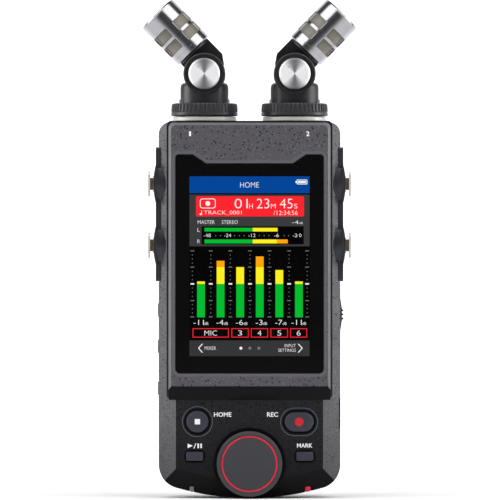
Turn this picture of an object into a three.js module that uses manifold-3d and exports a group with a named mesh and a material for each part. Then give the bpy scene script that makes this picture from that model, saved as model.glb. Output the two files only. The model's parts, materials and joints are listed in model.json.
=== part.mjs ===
// Portable field recorder: a hand-held audio recorder with a touch screen, a control dial,
// four combination jacks on its flanks and two tilting microphones on its head end.
// Units are millimetres. +Z runs up the case, the screen faces -Y, +X is the operator's right.
import * as THREE from 'three';
import { mergeVertices } from 'three/addons/utils/BufferGeometryUtils.js';
import Module from 'manifold-3d';

const wasm = await Module();
wasm.setup();

// ---- driving dimensions ----

const gap = 0.3;
const wall = 1.8;
const sides = [{ name: 'left', sign: -1 }, { name: 'right', sign: 1 }];

const hull = {
  halfWidth: 37.6,
  top: 155.6,
  front: -12.9,
  back: 17.55,
  split: -3.0,
  shoulderRadius: 5,
  cornerRadius: 10,
  bottomRadius: 110,
  facetInnerX: 30.4,
  facetOuterY: -6.3,
  rearChamferX: 33.0,
  rearChamferY: 12.5,
  rearLowChamferY: 12.0,
  rearLowChamferZ: 8.0,
  rearTopChamferY: 13.5,
  rearTopChamferZ: 151.6,
  noseHalfWidth: 14.0,
  noseZ: 8.4,
  noseSideZ: 12.4,
  noseLowX: 16.8,
  noseLowZ: 1.2,
  noseDepth: 6.4,
};

const bezel = {
  halfWidth: 33.4,
  bottom: 40.8,
  top: 155.2,
  front: -17.55,
  back: -13.2,
  cornerRadius: 2,
  edgeChamfer: 1.1,
  slopeTop: 46.5,
  plinthInset: 0.4,
  plinthDepth: 5,
};

const glass = {
  halfWidth: 30.5,
  bottom: 51.8,
  shoulderZ: 142.0,
  shoulderX: 23.3,
  notchZ: 138.3,
  notchX: 17.8,
  cornerRadius: 1.7,
  front: -17.1,
  back: -16.1,
  lipWidth: 1.4,
};

const lcd = { halfWidth: 27.2, bottom: 56.0, top: 136.0, front: -15.7, back: -13.4 };

const board = { halfWidth: 31, bottom: 12, top: 143, front: -9.5, back: -8.1 };

const dial = {
  z: 14.4,
  radius: 13.6,
  wellRadius: 15.1,
  wellWall: 1.2,
  wellFloor: -9.6,
  front: -16.9,
  back: -10.3,
  ringInner: 10.5,
  ringOuter: 11.64,
  ringFront: -17.0,
  ringBack: -16.1,
  shaftRadius: 3,
  shaftFront: -13.0,
  shaftBack: -5.4,
  boreFloor: -13.4,
  encoderHalf: 6.5,
  encoderFront: -8.1,
  encoderBack: -2.8,
};

const keyFront = -13.7;
const keyFlangeFront = -11.0;
const keyFlangeBack = -10.4;
const keyFlangeWidth = 0.9;
const keyDishWidth = 0.9;
const keyDishDepth = 0.6;
const keys = [
  { name: 'home_key', x: -21.5, z: 31.8, width: 9.2, height: 9.2, radius: 4.6 },
  { name: 'rec_key', x: 20.5, z: 31.7, width: 12.1, height: 8.2, radius: 4.1 },
  { name: 'play_key', x: -22.6, z: 17.5, width: 7.0, height: 3.7, radius: 1.4 },
  { name: 'mark_key', x: 22.8, z: 17.5, width: 7.1, height: 3.7, radius: 1.4 },
];

const jack = {
  y: 3.3,
  levels: [{ name: 'upper', z: 130.0 }, { name: 'lower', z: 104.6 }],
  radius: 11.0,
  innerEnd: 13.8,
  face: 38.5,
  shellRadius: 9.5,
  coreRadius: 7.7,
  coreFace: 37.3,
  shellDepth: 14,
  plugRadius: 3.5,
  plugEnd: 16,
  pinRadius: 1.4,
  pinCircle: 5.6,
  pinDepth: 10,
  pinAngles: [90, 210, 330],
  bossRadius: 12.2,
  bossInner: 33.6,
};

const flank = {
  inner: 36.0,
  outer: 38.8,
  front: -7.0,
  back: 12.2,
  bottom: 89.7,
  top: 145.2,
  bulgeInner: 37.9,
  bulgeRise: 1.0,
  bulgeHalfHeight: 7.8,
  bulgeClear: 0.05,
  bulgeFront: -8.8,
  bulgeBack: -4.8,
};

const tab = {
  y: -7.0,
  plateInner: 41.1,
  plateOuter: 42.2,
  plateHeight: 10.4,
  plateDepth: 4.0,
  stemHeight: 5.0,
  stemDepth: 2.4,
  stemInner: 37.4,
  pocketInner: 35.3,
};

const miniJack = {
  y: -3.2,
  outlets: [
    { name: 'line_out_jack', z: 77.8 },
    { name: 'ext_in_jack', z: 62.8 },
    { name: 'phones_jack', z: 45.4 },
  ],
  collarRadius: 2.9,
  collarFace: 37.95,
  collarInner: 37.0,
  bodyRadius: 2.45,
  bodyEnd: 26,
  boreRadius: 1.78,
  boreEnd: 27.5,
};

const slider = {
  y: -3.2,
  z: 76.0,
  guideHalfHeight: 6.7,
  guideHalfDepth: 2.8,
  guideInner: 35.9,
  guideRise: 0.7,
  slotHalfHeight: 5.6,
  slotHalfDepth: 1.7,
  knobHalfHeight: 2.8,
  knobHalfDepth: 1.4,
  knobInner: 36.2,
  knobFace: 38.3,
  ridgeRise: 0.6,
  ridgePitch: 1.72,
  ridgeThickness: 0.8,
};

const usb = { y: -3.2, z: 58, height: 9.0, depth: 3.2, shellWall: 0.35, face: 37.5, end: 30.2 };
const card = { y: -6.2, z: 35, halfHeight: 6.8, halfDepth: 1.1, face: 33.2, end: 20.2, slotDepth: 0.7 };

const battery = {
  radius: 7.1,
  tipRadius: 2.7,
  tipHeight: 1.2,
  bottom: 17.0,
  length: 49.0,
  pitch: 15.0,
  y: 8.0,
  bayHalfWidth: 30.4,
  bayWall: 1.2,
  bayBottom: 14.2,
  bayTop: 70.0,
  bayFloor: 0.6,
  contactThickness: 0.5,
  contactHalfWidth: 29.0,
  contactFront: 3.0,
  contactBack: 13.0,
};

const door = {
  halfWidth: 31.7,
  bottom: 8.3,
  top: 75.7,
  thickness: 1.8,
  gripRows: 4,
  gripPitch: 2.4,
  gripWidth: 16,
  gripDepth: 0.5,
  gripTop: 70,
};

const tripod = { z: 104.0, radius: 5.5, boreRadius: 2.6, front: 8.4, back: 17.4, boreDepth: 7.5 };
const speaker = { z: 85.0, radius: 7.5, magnetRadius: 4.5, front: 11.2, step: 13.4, slotCount: 5, slotPitch: 2.4 };
const screw = { x: 29, levels: [85, 147], headRadius: 2.5, headDepth: 1.3, radius: 1.2, bossRadius: 3, end: -7.5 };

const tally = [
  { name: 'peak_light', x: -23.9, z: 3.7, width: 1.6, height: 2.2 },
  { name: 'rec_light', x: 24.2, z: 3.7, width: 2.1, height: 2.2 },
];
const tallyLength = 8;
const tallySlotDepth = 12;
const sideOpeningStart = hull.halfWidth - wall - 0.5;

const mic = {
  x: 18.7,
  y: 1.5,
  baseRadius: 13.2,
  baseBottom: 155.9,
  baseTop: 157.9,
  neckRadius: 8.4,
  neckTop: 161.0,
  spigotRadius: 7.0,
  spigotBottom: 150.0,
  boreRadius: 5.0,
  ringBottom: 158.2,
  ringBandTop: 159.8,
  ringTop: 163.5,
  ringRadius: 13.85,
  ringInner: 10.85,
  ribCount: 24,
  ribDepth: 0.45,
  holderRadius: 10.5,
  holderBottom: 158.2,
  holderSocketTop: 161.4,
  holderTop: 172.0,
  holderRound: 2.0,
  slotFloor: 165.1,
  slotHalf: 3.3,
  pivotZ: 175.6,
  earRadius: 8.7,
  earOuter: 10.5,
  pinRadius: 2.2,
  capRadius: 6.5,
  capThickness: 0.9,
  armHalf: 3.0,
  armHalfWidth: 7.6,
  armTop: 9.7,
  armCollar: 8.95,
  armHeel: 4.0,
  armFoot: 0.8,
  armCornerX: 8.6,
  armCornerDrop: 2.9,
  headOffset: 3.6,
  headBottom: 10.0,
  headTop: 31.8,
  headRadius: 8.75,
  headWall: 0.8,
  headFloor: 12.6,
  headLid: 0.9,
  headChamfer: 0.5,
  tipOpening: 6.4,
  windowRows: [14.4, 20.2],
  windowHeight: 4.55,
  windowAngles: [45, 135, 225, 315],
  windowSpan: 66,
  screenRadius: 7.65,
  screenWall: 0.6,
  tiltDegrees: 44.5,
};

const round = { large: 22, medium: 14, small: 8 };
const reach = 60;

// ---- solids ----

function solidOf(geometry) {
  const bare = geometry.clone();
  bare.deleteAttribute('normal');
  bare.deleteAttribute('uv');
  const welded = mergeVertices(bare);
  const corners = [];
  for (let i = 0; i < welded.index.count; i += 3) {
    const [a, b, c] = [0, 1, 2].map((k) => welded.index.getX(i + k));
    if (a !== b && b !== c && c !== a) {
      corners.push(a, b, c);
    }
  }
  return new wasm.Manifold(new wasm.Mesh({
    numProp: 3,
    vertProperties: Float32Array.from(welded.attributes.position.array),
    triVerts: Uint32Array.from(corners),
  }));
}

function geometryOf(solid) {
  const mesh = solid.getMesh();
  const geometry = new THREE.BufferGeometry();
  geometry.setAttribute('position', new THREE.BufferAttribute(new Float32Array(mesh.vertProperties), 3));
  geometry.setIndex(new THREE.BufferAttribute(new Uint32Array(mesh.triVerts), 1));
  geometry.computeVertexNormals();
  return geometry;
}

function fuse(...solids) {
  return solids.reduce((sum, solid) => sum.add(solid));
}

function cut(solid, ...tools) {
  return tools.reduce((rest, tool) => rest.subtract(tool), solid);
}

function box(x0, x1, y0, y1, z0, z1) {
  const geometry = new THREE.BoxGeometry(x1 - x0, y1 - y0, z1 - z0);
  geometry.translate((x0 + x1) / 2, (y0 + y1) / 2, (z0 + z1) / 2);
  return solidOf(geometry);
}

// A profile of [radius, height] points turned about Z.
function turned(profile, segments, x = 0, y = 0) {
  const points = profile.map(([radius, height]) => new THREE.Vector2(radius, height));
  const geometry = new THREE.LatheGeometry(points, segments);
  geometry.rotateX(Math.PI / 2);
  geometry.translate(x, y, 0);
  return solidOf(geometry);
}

// A profile of [radius, y] points turned about a line parallel to Y.
function turnedY(profile, segments, x, z, y = 0) {
  const points = profile.map(([radius, height]) => new THREE.Vector2(radius, height));
  const geometry = new THREE.LatheGeometry(points, segments);
  geometry.translate(x, y, z);
  return solidOf(geometry);
}

// A profile of [radius, distance] points turned about a line parallel to X; the distance
// grows outward from the middle of the case on the given side.
function turnedX(profile, segments, sign, y, z) {
  const points = profile.map(([radius, height]) => new THREE.Vector2(radius, height));
  const geometry = new THREE.LatheGeometry(points, segments);
  geometry.rotateZ(-sign * Math.PI / 2);
  geometry.translate(0, y, z);
  return solidOf(geometry);
}

function rod(radius, low, high) {
  return [[0, low], [radius, low], [radius, high], [0, high]];
}

function tube(inner, outer, low, high) {
  return [[inner, low], [outer, low], [outer, high], [inner, high], [inner, low]];
}

// A shape drawn in X and Z, swept from y0 to y1.
function sweptY(shape, y0, y1, curveSegments = 8) {
  const geometry = new THREE.ExtrudeGeometry(shape, { depth: y1 - y0, bevelEnabled: false, curveSegments });
  geometry.rotateX(Math.PI / 2);
  geometry.translate(0, y1, 0);
  return solidOf(geometry);
}

// A shape drawn in Y and Z, swept outward in X from x0 to x1 on the given side.
function sweptX(shape, x0, x1, sign, curveSegments = 8) {
  const geometry = new THREE.ExtrudeGeometry(shape, { depth: x1 - x0, bevelEnabled: false, curveSegments });
  const turn = new THREE.Matrix4().set(0, 0, 1, 0, 1, 0, 0, 0, 0, 1, 0, 0, 0, 0, 0, 1);
  geometry.applyMatrix4(turn);
  geometry.translate(x0, 0, 0);
  if (sign < 0) {
    geometry.applyMatrix4(new THREE.Matrix4().makeScale(-1, 1, 1));
    flipFaces(geometry);
  }
  return solidOf(geometry);
}

function flipFaces(geometry) {
  const position = geometry.attributes.position;
  const held = new THREE.Vector3();
  const swapped = new THREE.Vector3();
  for (let i = 0; i < position.count; i += 3) {
    held.fromBufferAttribute(position, i);
    swapped.fromBufferAttribute(position, i + 1);
    position.setXYZ(i, swapped.x, swapped.y, swapped.z);
    position.setXYZ(i + 1, held.x, held.y, held.z);
  }
}

function roundedRectangle(cx, cy, width, height, radius) {
  const shape = new THREE.Shape();
  const halfX = width / 2 - radius;
  const halfY = height / 2 - radius;
  shape.absarc(cx + halfX, cy - halfY, radius, -Math.PI / 2, 0, false);
  shape.absarc(cx + halfX, cy + halfY, radius, 0, Math.PI / 2, false);
  shape.absarc(cx - halfX, cy + halfY, radius, Math.PI / 2, Math.PI, false);
  shape.absarc(cx - halfX, cy - halfY, radius, Math.PI, Math.PI * 1.5, false);
  return shape;
}

// A plate whose outer face is an arc that stands `rise` above `foot` in the middle and meets
// `foot` at both ends; it is swept in Y from y0 to y1.
function archedPlate(sign, inner, foot, rise, halfHeight, z, y0, y1) {
  const radius = (halfHeight ** 2 + rise ** 2) / (2 * rise);
  const sweep = Math.asin(halfHeight / radius);
  const steps = 6;
  const points = [new THREE.Vector2(sign * inner, z - halfHeight)];
  for (let i = 0; i <= steps; i += 1) {
    const angle = sweep * (2 * i / steps - 1);
    const out = foot + rise - radius + radius * Math.cos(angle);
    points.push(new THREE.Vector2(sign * out, z + radius * Math.sin(angle)));
  }
  points.push(new THREE.Vector2(sign * inner, z + halfHeight));
  return sweptY(new THREE.Shape(points), y0, y1);
}

// A large block whose near face lies on a plane and which fills the space beyond it.
function beyond(point, normal) {
  const geometry = new THREE.BoxGeometry(6 * reach, 6 * reach, reach);
  geometry.translate(0, 0, reach / 2);
  const facing = new THREE.Quaternion().setFromUnitVectors(new THREE.Vector3(0, 0, 1), normal);
  geometry.applyQuaternion(facing);
  geometry.translate(point.x, point.y, point.z);
  return solidOf(geometry);
}

// ---- the outer form of the case ----

function caseOutline(inset) {
  const { halfWidth, top, shoulderRadius, cornerRadius, bottomRadius } = hull;
  const cornerX = halfWidth - cornerRadius;
  const cornerDrop = Math.sqrt((bottomRadius - cornerRadius) ** 2 - cornerX ** 2);
  const cornerZ = bottomRadius - cornerDrop;
  const meeting = Math.atan2(-cornerDrop, cornerX);
  const shoulderX = halfWidth - shoulderRadius;
  const shoulderZ = top - shoulderRadius;
  const shape = new THREE.Shape();
  shape.absarc(0, bottomRadius, bottomRadius - inset, -Math.PI - meeting, meeting, false);
  shape.absarc(cornerX, cornerZ, cornerRadius - inset, meeting, 0, false);
  shape.absarc(shoulderX, shoulderZ, shoulderRadius - inset, 0, Math.PI / 2, false);
  shape.absarc(-shoulderX, shoulderZ, shoulderRadius - inset, Math.PI / 2, Math.PI, false);
  shape.absarc(-cornerX, cornerZ, cornerRadius - inset, Math.PI, Math.PI - meeting, false);
  return shape;
}

// Every flat that trims the outline: each is a point and an outward normal.
function casePlanes() {
  const planes = [];
  const add = (point, across, along) => {
    const normal = new THREE.Vector3().crossVectors(across, along).normalize();
    planes.push({ point, normal });
  };
  const upward = new THREE.Vector3(0, 0, 1);
  const nose = new THREE.Vector3(hull.noseHalfWidth, hull.front, hull.noseZ);
  const noseFoot = hull.front + hull.noseDepth * (hull.noseZ - hull.noseLowZ) / hull.noseZ;
  const noseSide = new THREE.Vector3(hull.facetInnerX, hull.front, hull.noseSideZ);
  const noseLow = new THREE.Vector3(hull.noseLowX, noseFoot, hull.noseLowZ);
  add(nose, new THREE.Vector3(1, 0, 0), new THREE.Vector3(0, -hull.noseDepth, hull.noseZ));
  const rightward = [
    [
      new THREE.Vector3(hull.facetInnerX, hull.front, 0),
      new THREE.Vector3(hull.halfWidth - hull.facetInnerX, hull.facetOuterY - hull.front, 0),
      upward,
    ],
    [nose, noseSide.clone().sub(nose), nose.clone().sub(noseLow)],
    [
      new THREE.Vector3(hull.halfWidth, hull.rearChamferY, 0),
      new THREE.Vector3(hull.rearChamferX - hull.halfWidth, hull.back - hull.rearChamferY, 0),
      upward,
    ],
  ];
  for (const [point, across, along] of rightward) {
    add(point, across, along);
    const { normal } = planes[planes.length - 1];
    planes.push({
      point: new THREE.Vector3(-point.x, point.y, point.z),
      normal: new THREE.Vector3(-normal.x, normal.y, normal.z),
    });
  }
  const leftward = new THREE.Vector3(-1, 0, 0);
  add(
    new THREE.Vector3(0, hull.back, hull.rearLowChamferZ),
    leftward,
    new THREE.Vector3(0, hull.back - hull.rearLowChamferY, hull.rearLowChamferZ),
  );
  add(
    new THREE.Vector3(0, hull.back, hull.rearTopChamferZ),
    leftward,
    new THREE.Vector3(0, hull.rearTopChamferY - hull.back, hull.top - hull.rearTopChamferZ),
  );
  return planes;
}

function caseForm(inset) {
  const block = sweptY(caseOutline(inset), hull.front + inset, hull.back - inset, 5);
  const trims = casePlanes().map(({ point, normal }) => (
    beyond(point.clone().addScaledVector(normal, -inset), normal)
  ));
  return cut(block, ...trims);
}

const outerForm = caseForm(0);
const innerForm = caseForm(wall);

function frontHalf(offset) {
  return box(-reach, reach, -reach, hull.split - offset, -reach, 4 * reach);
}

function rearHalf(offset) {
  return box(-reach, reach, hull.split + offset, reach, -reach, 4 * reach);
}

// ---- openings shared by the two case halves ----

function flankOpenings() {
  return sides.flatMap(({ sign }) => {
    const panel = sweptX(
      roundedRectangle(
        (flank.front + flank.back) / 2,
        (flank.bottom + flank.top) / 2,
        flank.back - flank.front + 2 * gap,
        flank.top - flank.bottom + 2 * gap,
        1.2,
      ), sideOpeningStart, reach, sign, 3);
    const bosses = jack.levels.map(({ z }) => turnedX(
      rod(jack.bossRadius + gap, jack.bossInner - gap, reach), round.large, sign, jack.y, z));
    return [panel, ...bosses];
  });
}

function portOpenings() {
  const miniJacks = miniJack.outlets.map(({ z }) => turnedX(
    rod(miniJack.collarRadius + gap, sideOpeningStart, reach), round.medium, -1, miniJack.y, z));
  const guide = box(
    sideOpeningStart, reach,
    slider.y - slider.guideHalfDepth - gap, slider.y + slider.guideHalfDepth + gap,
    slider.z - slider.guideHalfHeight - gap, slider.z + slider.guideHalfHeight + gap,
  );
  const usbSlot = sweptX(
    roundedRectangle(usb.y, usb.z, usb.depth + 2 * gap, usb.height + 2 * gap, usb.depth / 2),
    sideOpeningStart, reach, 1, 3);
  const cardSlot = box(
    sideOpeningStart, reach,
    card.y - card.slotDepth, card.y + card.slotDepth,
    card.z - card.halfHeight + gap, card.z + card.halfHeight - gap,
  );
  return [...miniJacks, guide, usbSlot, cardSlot];
}

function micOpenings() {
  return sides.map(({ sign }) => turned(
    rod(mic.spigotRadius + gap, mic.spigotBottom, hull.top + 1), round.medium, sign * mic.x, mic.y));
}

function screwPlaces() {
  return sides.flatMap(({ sign }) => screw.levels.map((z) => ({ x: sign * screw.x, z })));
}

// ---- case halves ----

function keyShape(key, growth) {
  return roundedRectangle(key.x, key.z, key.width + 2 * growth, key.height + 2 * growth, key.radius + growth);
}

// The dished rim around a key: a shallow step just below the control face.
function keyOpening(key) {
  const through = sweptY(keyShape(key, gap), hull.front - 1, hull.front + wall + 1, 3);
  const dish = sweptY(keyShape(key, keyDishWidth), hull.front - 1, hull.front + keyDishDepth, 3);
  return fuse(through, dish);
}

function tallyRod(light, growth) {
  return box(
    light.x - light.width / 2 - growth, light.x + light.width / 2 + growth,
    hull.front, hull.front + tallySlotDepth,
    light.z - light.height / 2 - growth, light.z + light.height / 2 + growth,
  );
}

function frontShell() {
  const plinth = box(
    -bezel.halfWidth + bezel.plinthInset, bezel.halfWidth - bezel.plinthInset,
    hull.front, hull.front + bezel.plinthDepth,
    bezel.bottom + bezel.plinthInset, bezel.top - bezel.plinthInset,
  );
  const skin = cut(fuse(outerForm, plinth), innerForm).intersect(frontHalf(gap / 2));
  const well = turnedY(
    rod(dial.wellRadius + dial.wellWall, hull.front, dial.wellFloor + dial.wellWall),
    round.large, 0, dial.z).intersect(outerForm);
  const bosses = screwPlaces().map(({ x, z }) => turnedY(
    rod(screw.bossRadius, hull.front + wall - gap, hull.split - gap), round.small, x, z));
  const bossBores = screwPlaces().map(({ x, z }) => turnedY(
    rod(screw.radius + gap, screw.end - 1, hull.split + gap), round.small, x, z));
  const wellHollow = turnedY(
    rod(dial.wellRadius, hull.front - reach, dial.wellFloor), round.large, 0, dial.z);
  const shaftHole = turnedY(
    rod(dial.shaftRadius + gap, dial.wellFloor - 1, dial.wellFloor + 2 * dial.wellWall),
    round.medium, 0, dial.z);
  return cut(
    fuse(skin, well, ...bosses),
    wellHollow,
    shaftHole,
    ...bossBores,
    ...keys.map(keyOpening),
    ...tally.map((light) => tallyRod(light, gap)),
    ...flankOpenings(),
    ...portOpenings(),
    ...micOpenings(),
  );
}

function rearShell() {
  const skin = cut(outerForm, innerForm).intersect(rearHalf(gap / 2));
  const outerHalfWidth = battery.bayHalfWidth + battery.bayWall;
  const bay = box(
    -outerHalfWidth, outerHalfWidth,
    battery.bayFloor - 1, hull.back - door.thickness - gap,
    battery.bayBottom - battery.bayWall, battery.bayTop + battery.bayWall,
  );
  const bayHollow = box(
    -battery.bayHalfWidth, battery.bayHalfWidth,
    battery.bayFloor, reach,
    battery.bayBottom, battery.bayTop,
  );
  const recess = box(
    -door.halfWidth - gap, door.halfWidth + gap,
    hull.back - door.thickness - gap, reach,
    -reach, door.top + gap,
  );
  const bosses = screwPlaces().map(({ x, z }) => turnedY(
    rod(screw.bossRadius, hull.split + gap, hull.back - wall + gap), round.small, x, z));
  const bores = screwPlaces().map(({ x, z }) => turnedY(
    rod(screw.radius + gap, hull.split - 1, reach), round.small, x, z));
  const headSeats = screwPlaces().map(({ x, z }) => turnedY(
    rod(screw.headRadius + gap, hull.back - screw.headDepth - gap, reach), round.small, x, z));
  const threadHole = turnedY(
    rod(tripod.radius + gap, tripod.front - 1, reach), round.medium, 0, tripod.z);
  const ledge = box(
    -hull.halfWidth, hull.halfWidth,
    hull.back - door.thickness - 2, hull.back - wall / 2,
    door.bottom - 2, door.top + 1.5,
  ).intersect(outerForm);
  const grille = [];
  for (let i = 0; i < speaker.slotCount; i += 1) {
    const z = speaker.z + (i - (speaker.slotCount - 1) / 2) * speaker.slotPitch;
    grille.push(box(-speaker.radius + 2, speaker.radius - 2, hull.back - wall - 1, reach, z - 0.5, z + 0.5));
  }
  return cut(
    fuse(skin, bay, ledge, ...bosses),
    bayHollow,
    recess,
    threadHole,
    ...bores,
    ...headSeats,
    ...grille,
    ...flankOpenings(),
    ...portOpenings(),
    ...micOpenings(),
  );
}

// ---- display ----

function glassShape(growth) {
  const { halfWidth, bottom, shoulderZ, shoulderX, notchZ, notchX, cornerRadius } = glass;
  const outerX = halfWidth + growth;
  const cornerX = halfWidth - cornerRadius;
  const cornerZ = bottom + cornerRadius;
  const cornerR = cornerRadius + growth;
  const shape = new THREE.Shape();
  shape.absarc(cornerX, cornerZ, cornerR, -Math.PI / 2, 0, false);
  shape.lineTo(outerX, shoulderZ + growth);
  shape.lineTo(shoulderX, shoulderZ + growth);
  shape.lineTo(notchX, notchZ + growth);
  shape.lineTo(-notchX, notchZ + growth);
  shape.lineTo(-shoulderX, shoulderZ + growth);
  shape.lineTo(-outerX, shoulderZ + growth);
  shape.absarc(-cornerX, cornerZ, cornerR, Math.PI, Math.PI * 1.5, false);
  return shape;
}

function displayBezel() {
  const { halfWidth, bottom, top, front, back, cornerRadius, edgeChamfer, slopeTop } = bezel;
  const plate = sweptY(
    roundedRectangle(0, (bottom + top) / 2, 2 * halfWidth, top - bottom, cornerRadius), front, back, 4);
  const slant = Math.SQRT1_2;
  const slope = new THREE.Vector3(0, -(slopeTop - bottom), -(back - front)).normalize();
  const edges = [
    beyond(new THREE.Vector3(halfWidth - edgeChamfer, front, 0), new THREE.Vector3(slant, -slant, 0)),
    beyond(new THREE.Vector3(-halfWidth + edgeChamfer, front, 0), new THREE.Vector3(-slant, -slant, 0)),
    beyond(new THREE.Vector3(0, front, top - edgeChamfer), new THREE.Vector3(0, -slant, slant)),
    beyond(new THREE.Vector3(0, front, slopeTop), slope),
  ];
  const pocket = sweptY(glassShape(gap), front - 1, glass.back + gap, 4);
  const lip = sweptY(glassShape(glass.lipWidth), front - 1, glass.front, 4);
  const window = box(
    -lcd.halfWidth - gap, lcd.halfWidth + gap,
    front, back + 1,
    lcd.bottom - gap, lcd.top + gap,
  );
  return cut(plate, ...edges, pocket, lip, window);
}

function screenGlass() {
  return sweptY(glassShape(0), glass.front, glass.back, 4);
}

function lcdModule() {
  return box(-lcd.halfWidth, lcd.halfWidth, lcd.front, lcd.back, lcd.bottom, lcd.top);
}

function mainBoard() {
  const plate = box(-board.halfWidth, board.halfWidth, board.front, board.back, board.bottom, board.top);
  const dialCutout = turnedY(
    rod(dial.wellRadius + dial.wellWall + 1, board.front - 1, board.back + 1), round.medium, 0, dial.z);
  const screwHoles = screwPlaces().map(({ x, z }) => turnedY(
    rod(screw.bossRadius + gap, board.front - 1, board.back + 1), round.small, x, z));
  return cut(plate, dialCutout, ...screwHoles);
}

// ---- controls ----

function pressKey(key) {
  const cap = sweptY(keyShape(key, 0), keyFront, keyFlangeBack, 3);
  const flange = sweptY(keyShape(key, keyFlangeWidth), keyFlangeFront, keyFlangeBack, 3);
  return fuse(cap, flange);
}

function dialKnob() {
  const { radius, front, back, ringInner, ringOuter, ringBack, shaftRadius, boreFloor } = dial;
  const profile = [
    [0, front + 0.5],
    [ringInner - 1.4, front + 0.5],
    [ringInner - gap, front],
    [ringInner - gap, ringBack + gap],
    [ringOuter + gap, ringBack + gap],
    [ringOuter + gap, front],
    [radius - 0.8, front],
    [radius, front + 0.8],
    [radius, back],
    [shaftRadius + gap, back],
    [shaftRadius + gap, boreFloor],
    [0, boreFloor],
  ];
  return turnedY(profile, round.large, 0, dial.z);
}

function dialRing() {
  return turnedY(tube(dial.ringInner, dial.ringOuter, dial.ringFront, dial.ringBack), round.large, 0, dial.z);
}

function dialShaft() {
  return turnedY(rod(dial.shaftRadius, dial.shaftFront, dial.shaftBack), round.small, 0, dial.z);
}

function dialEncoder() {
  const half = dial.encoderHalf;
  const housing = box(-half, half, dial.encoderFront, dial.encoderBack, dial.z - half + 4, dial.z + half);
  const bore = turnedY(
    rod(dial.shaftRadius + gap, dial.encoderFront - 1, dial.shaftBack + 1), round.small, 0, dial.z);
  return cut(housing, bore);
}

function tallyLight(light) {
  const depth = box(-reach, reach, hull.front, hull.front + tallyLength, -reach, reach);
  return tallyRod(light, 0).intersect(outerForm).intersect(depth);
}

function powerGuide() {
  const { y, z, guideHalfHeight, guideHalfDepth, guideInner, guideRise } = slider;
  const plate = archedPlate(
    1, guideInner, hull.halfWidth, guideRise, guideHalfHeight, z, y - guideHalfDepth, y + guideHalfDepth);
  const slot = box(
    0, reach,
    y - slider.slotHalfDepth, y + slider.slotHalfDepth,
    z - slider.slotHalfHeight, z + slider.slotHalfHeight,
  );
  return cut(plate, slot);
}

function powerSlider() {
  const { y, z, knobHalfDepth, knobHalfHeight, knobInner, knobFace, ridgeRise } = slider;
  const half = slider.ridgeThickness / 2;
  const block = box(
    knobInner, knobFace, y - knobHalfDepth, y + knobHalfDepth, z - knobHalfHeight, z + knobHalfHeight);
  const ridges = [-1, 0, 1].map((step) => {
    const level = z + step * slider.ridgePitch;
    return box(
      knobFace - gap, knobFace + ridgeRise, y - knobHalfDepth, y + knobHalfDepth, level - half, level + half);
  });
  return fuse(block, ...ridges);
}

// ---- connectors ----

function tabStemHole(sign, z, depth) {
  const shape = roundedRectangle(tab.y, z, tab.stemDepth + 2 * gap, tab.stemHeight + 2 * gap, 0.5);
  return sweptX(shape, depth, reach, sign, 2);
}

// A flat plate with a bored boss behind each jack and an arched bridge over each jack's front edge.
function flankPanel(sign) {
  const { inner, outer, front, back, bottom, top, bulgeInner, bulgeRise, bulgeHalfHeight } = flank;
  const shape = roundedRectangle((front + back) / 2, (bottom + top) / 2, back - front, top - bottom, 1);
  const plate = sweptX(shape, inner, outer, sign, 3);
  const bosses = jack.levels.map(({ z }) => turnedX(
    rod(jack.bossRadius, jack.bossInner, outer), round.large, sign, jack.y, z));
  const bridges = jack.levels.map(({ z }) => archedPlate(
    sign, bulgeInner, outer, bulgeRise, bulgeHalfHeight, z, flank.bulgeFront, flank.bulgeBack));
  const jackHoles = jack.levels.map(({ z }) => turnedX(
    rod(jack.radius + gap, 0, outer + flank.bulgeClear), round.large, sign, jack.y, z));
  const stemHoles = jack.levels.map(({ z }) => tabStemHole(sign, z, jack.bossInner - 1));
  return cut(fuse(plate, ...bosses, ...bridges), ...jackHoles, ...stemHoles);
}

function comboJack(sign, z) {
  const { radius, innerEnd, face, shellRadius, coreRadius, coreFace, shellDepth } = jack;
  const body = turnedX(rod(radius, innerEnd, face), round.medium, sign, jack.y, z);
  const groove = turnedX(tube(coreRadius, shellRadius, face - shellDepth, face + 1), round.medium, sign, jack.y, z);
  const recess = turnedX(rod(shellRadius, coreFace, face + 1), round.medium, sign, jack.y, z);
  const plugBore = turnedX(rod(jack.plugRadius, jack.plugEnd, face + 1), round.medium, sign, jack.y, z);
  const pinHoles = jack.pinAngles.map((degrees) => {
    const angle = THREE.MathUtils.degToRad(degrees);
    const y = jack.y + jack.pinCircle * Math.cos(angle);
    return turnedX(
      rod(jack.pinRadius, coreFace - jack.pinDepth, face), 8, sign, y, z + jack.pinCircle * Math.sin(angle));
  });
  return cut(body, groove, recess, plugBore, tabStemHole(sign, z, tab.pocketInner), ...pinHoles);
}

function releaseTab(sign, z) {
  const plate = sweptX(
    roundedRectangle(tab.y, z, tab.plateDepth, tab.plateHeight, tab.plateDepth / 2 - 0.05),
    tab.plateInner, tab.plateOuter, sign, 4);
  const stem = sweptX(
    roundedRectangle(tab.y, z, tab.stemDepth, tab.stemHeight, 0.4), tab.stemInner, tab.plateInner + 0.2, sign, 1);
  return fuse(plate, stem);
}

function smallJack(z) {
  const { collarRadius, collarFace, collarInner, bodyRadius, bodyEnd, boreRadius, boreEnd } = miniJack;
  return turnedX([
    [0, bodyEnd],
    [bodyRadius, bodyEnd],
    [bodyRadius, collarInner],
    [collarRadius, collarInner],
    [collarRadius, collarFace],
    [boreRadius, collarFace],
    [boreRadius, boreEnd],
    [0, boreEnd],
  ], round.medium, -1, miniJack.y, z);
}

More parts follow.
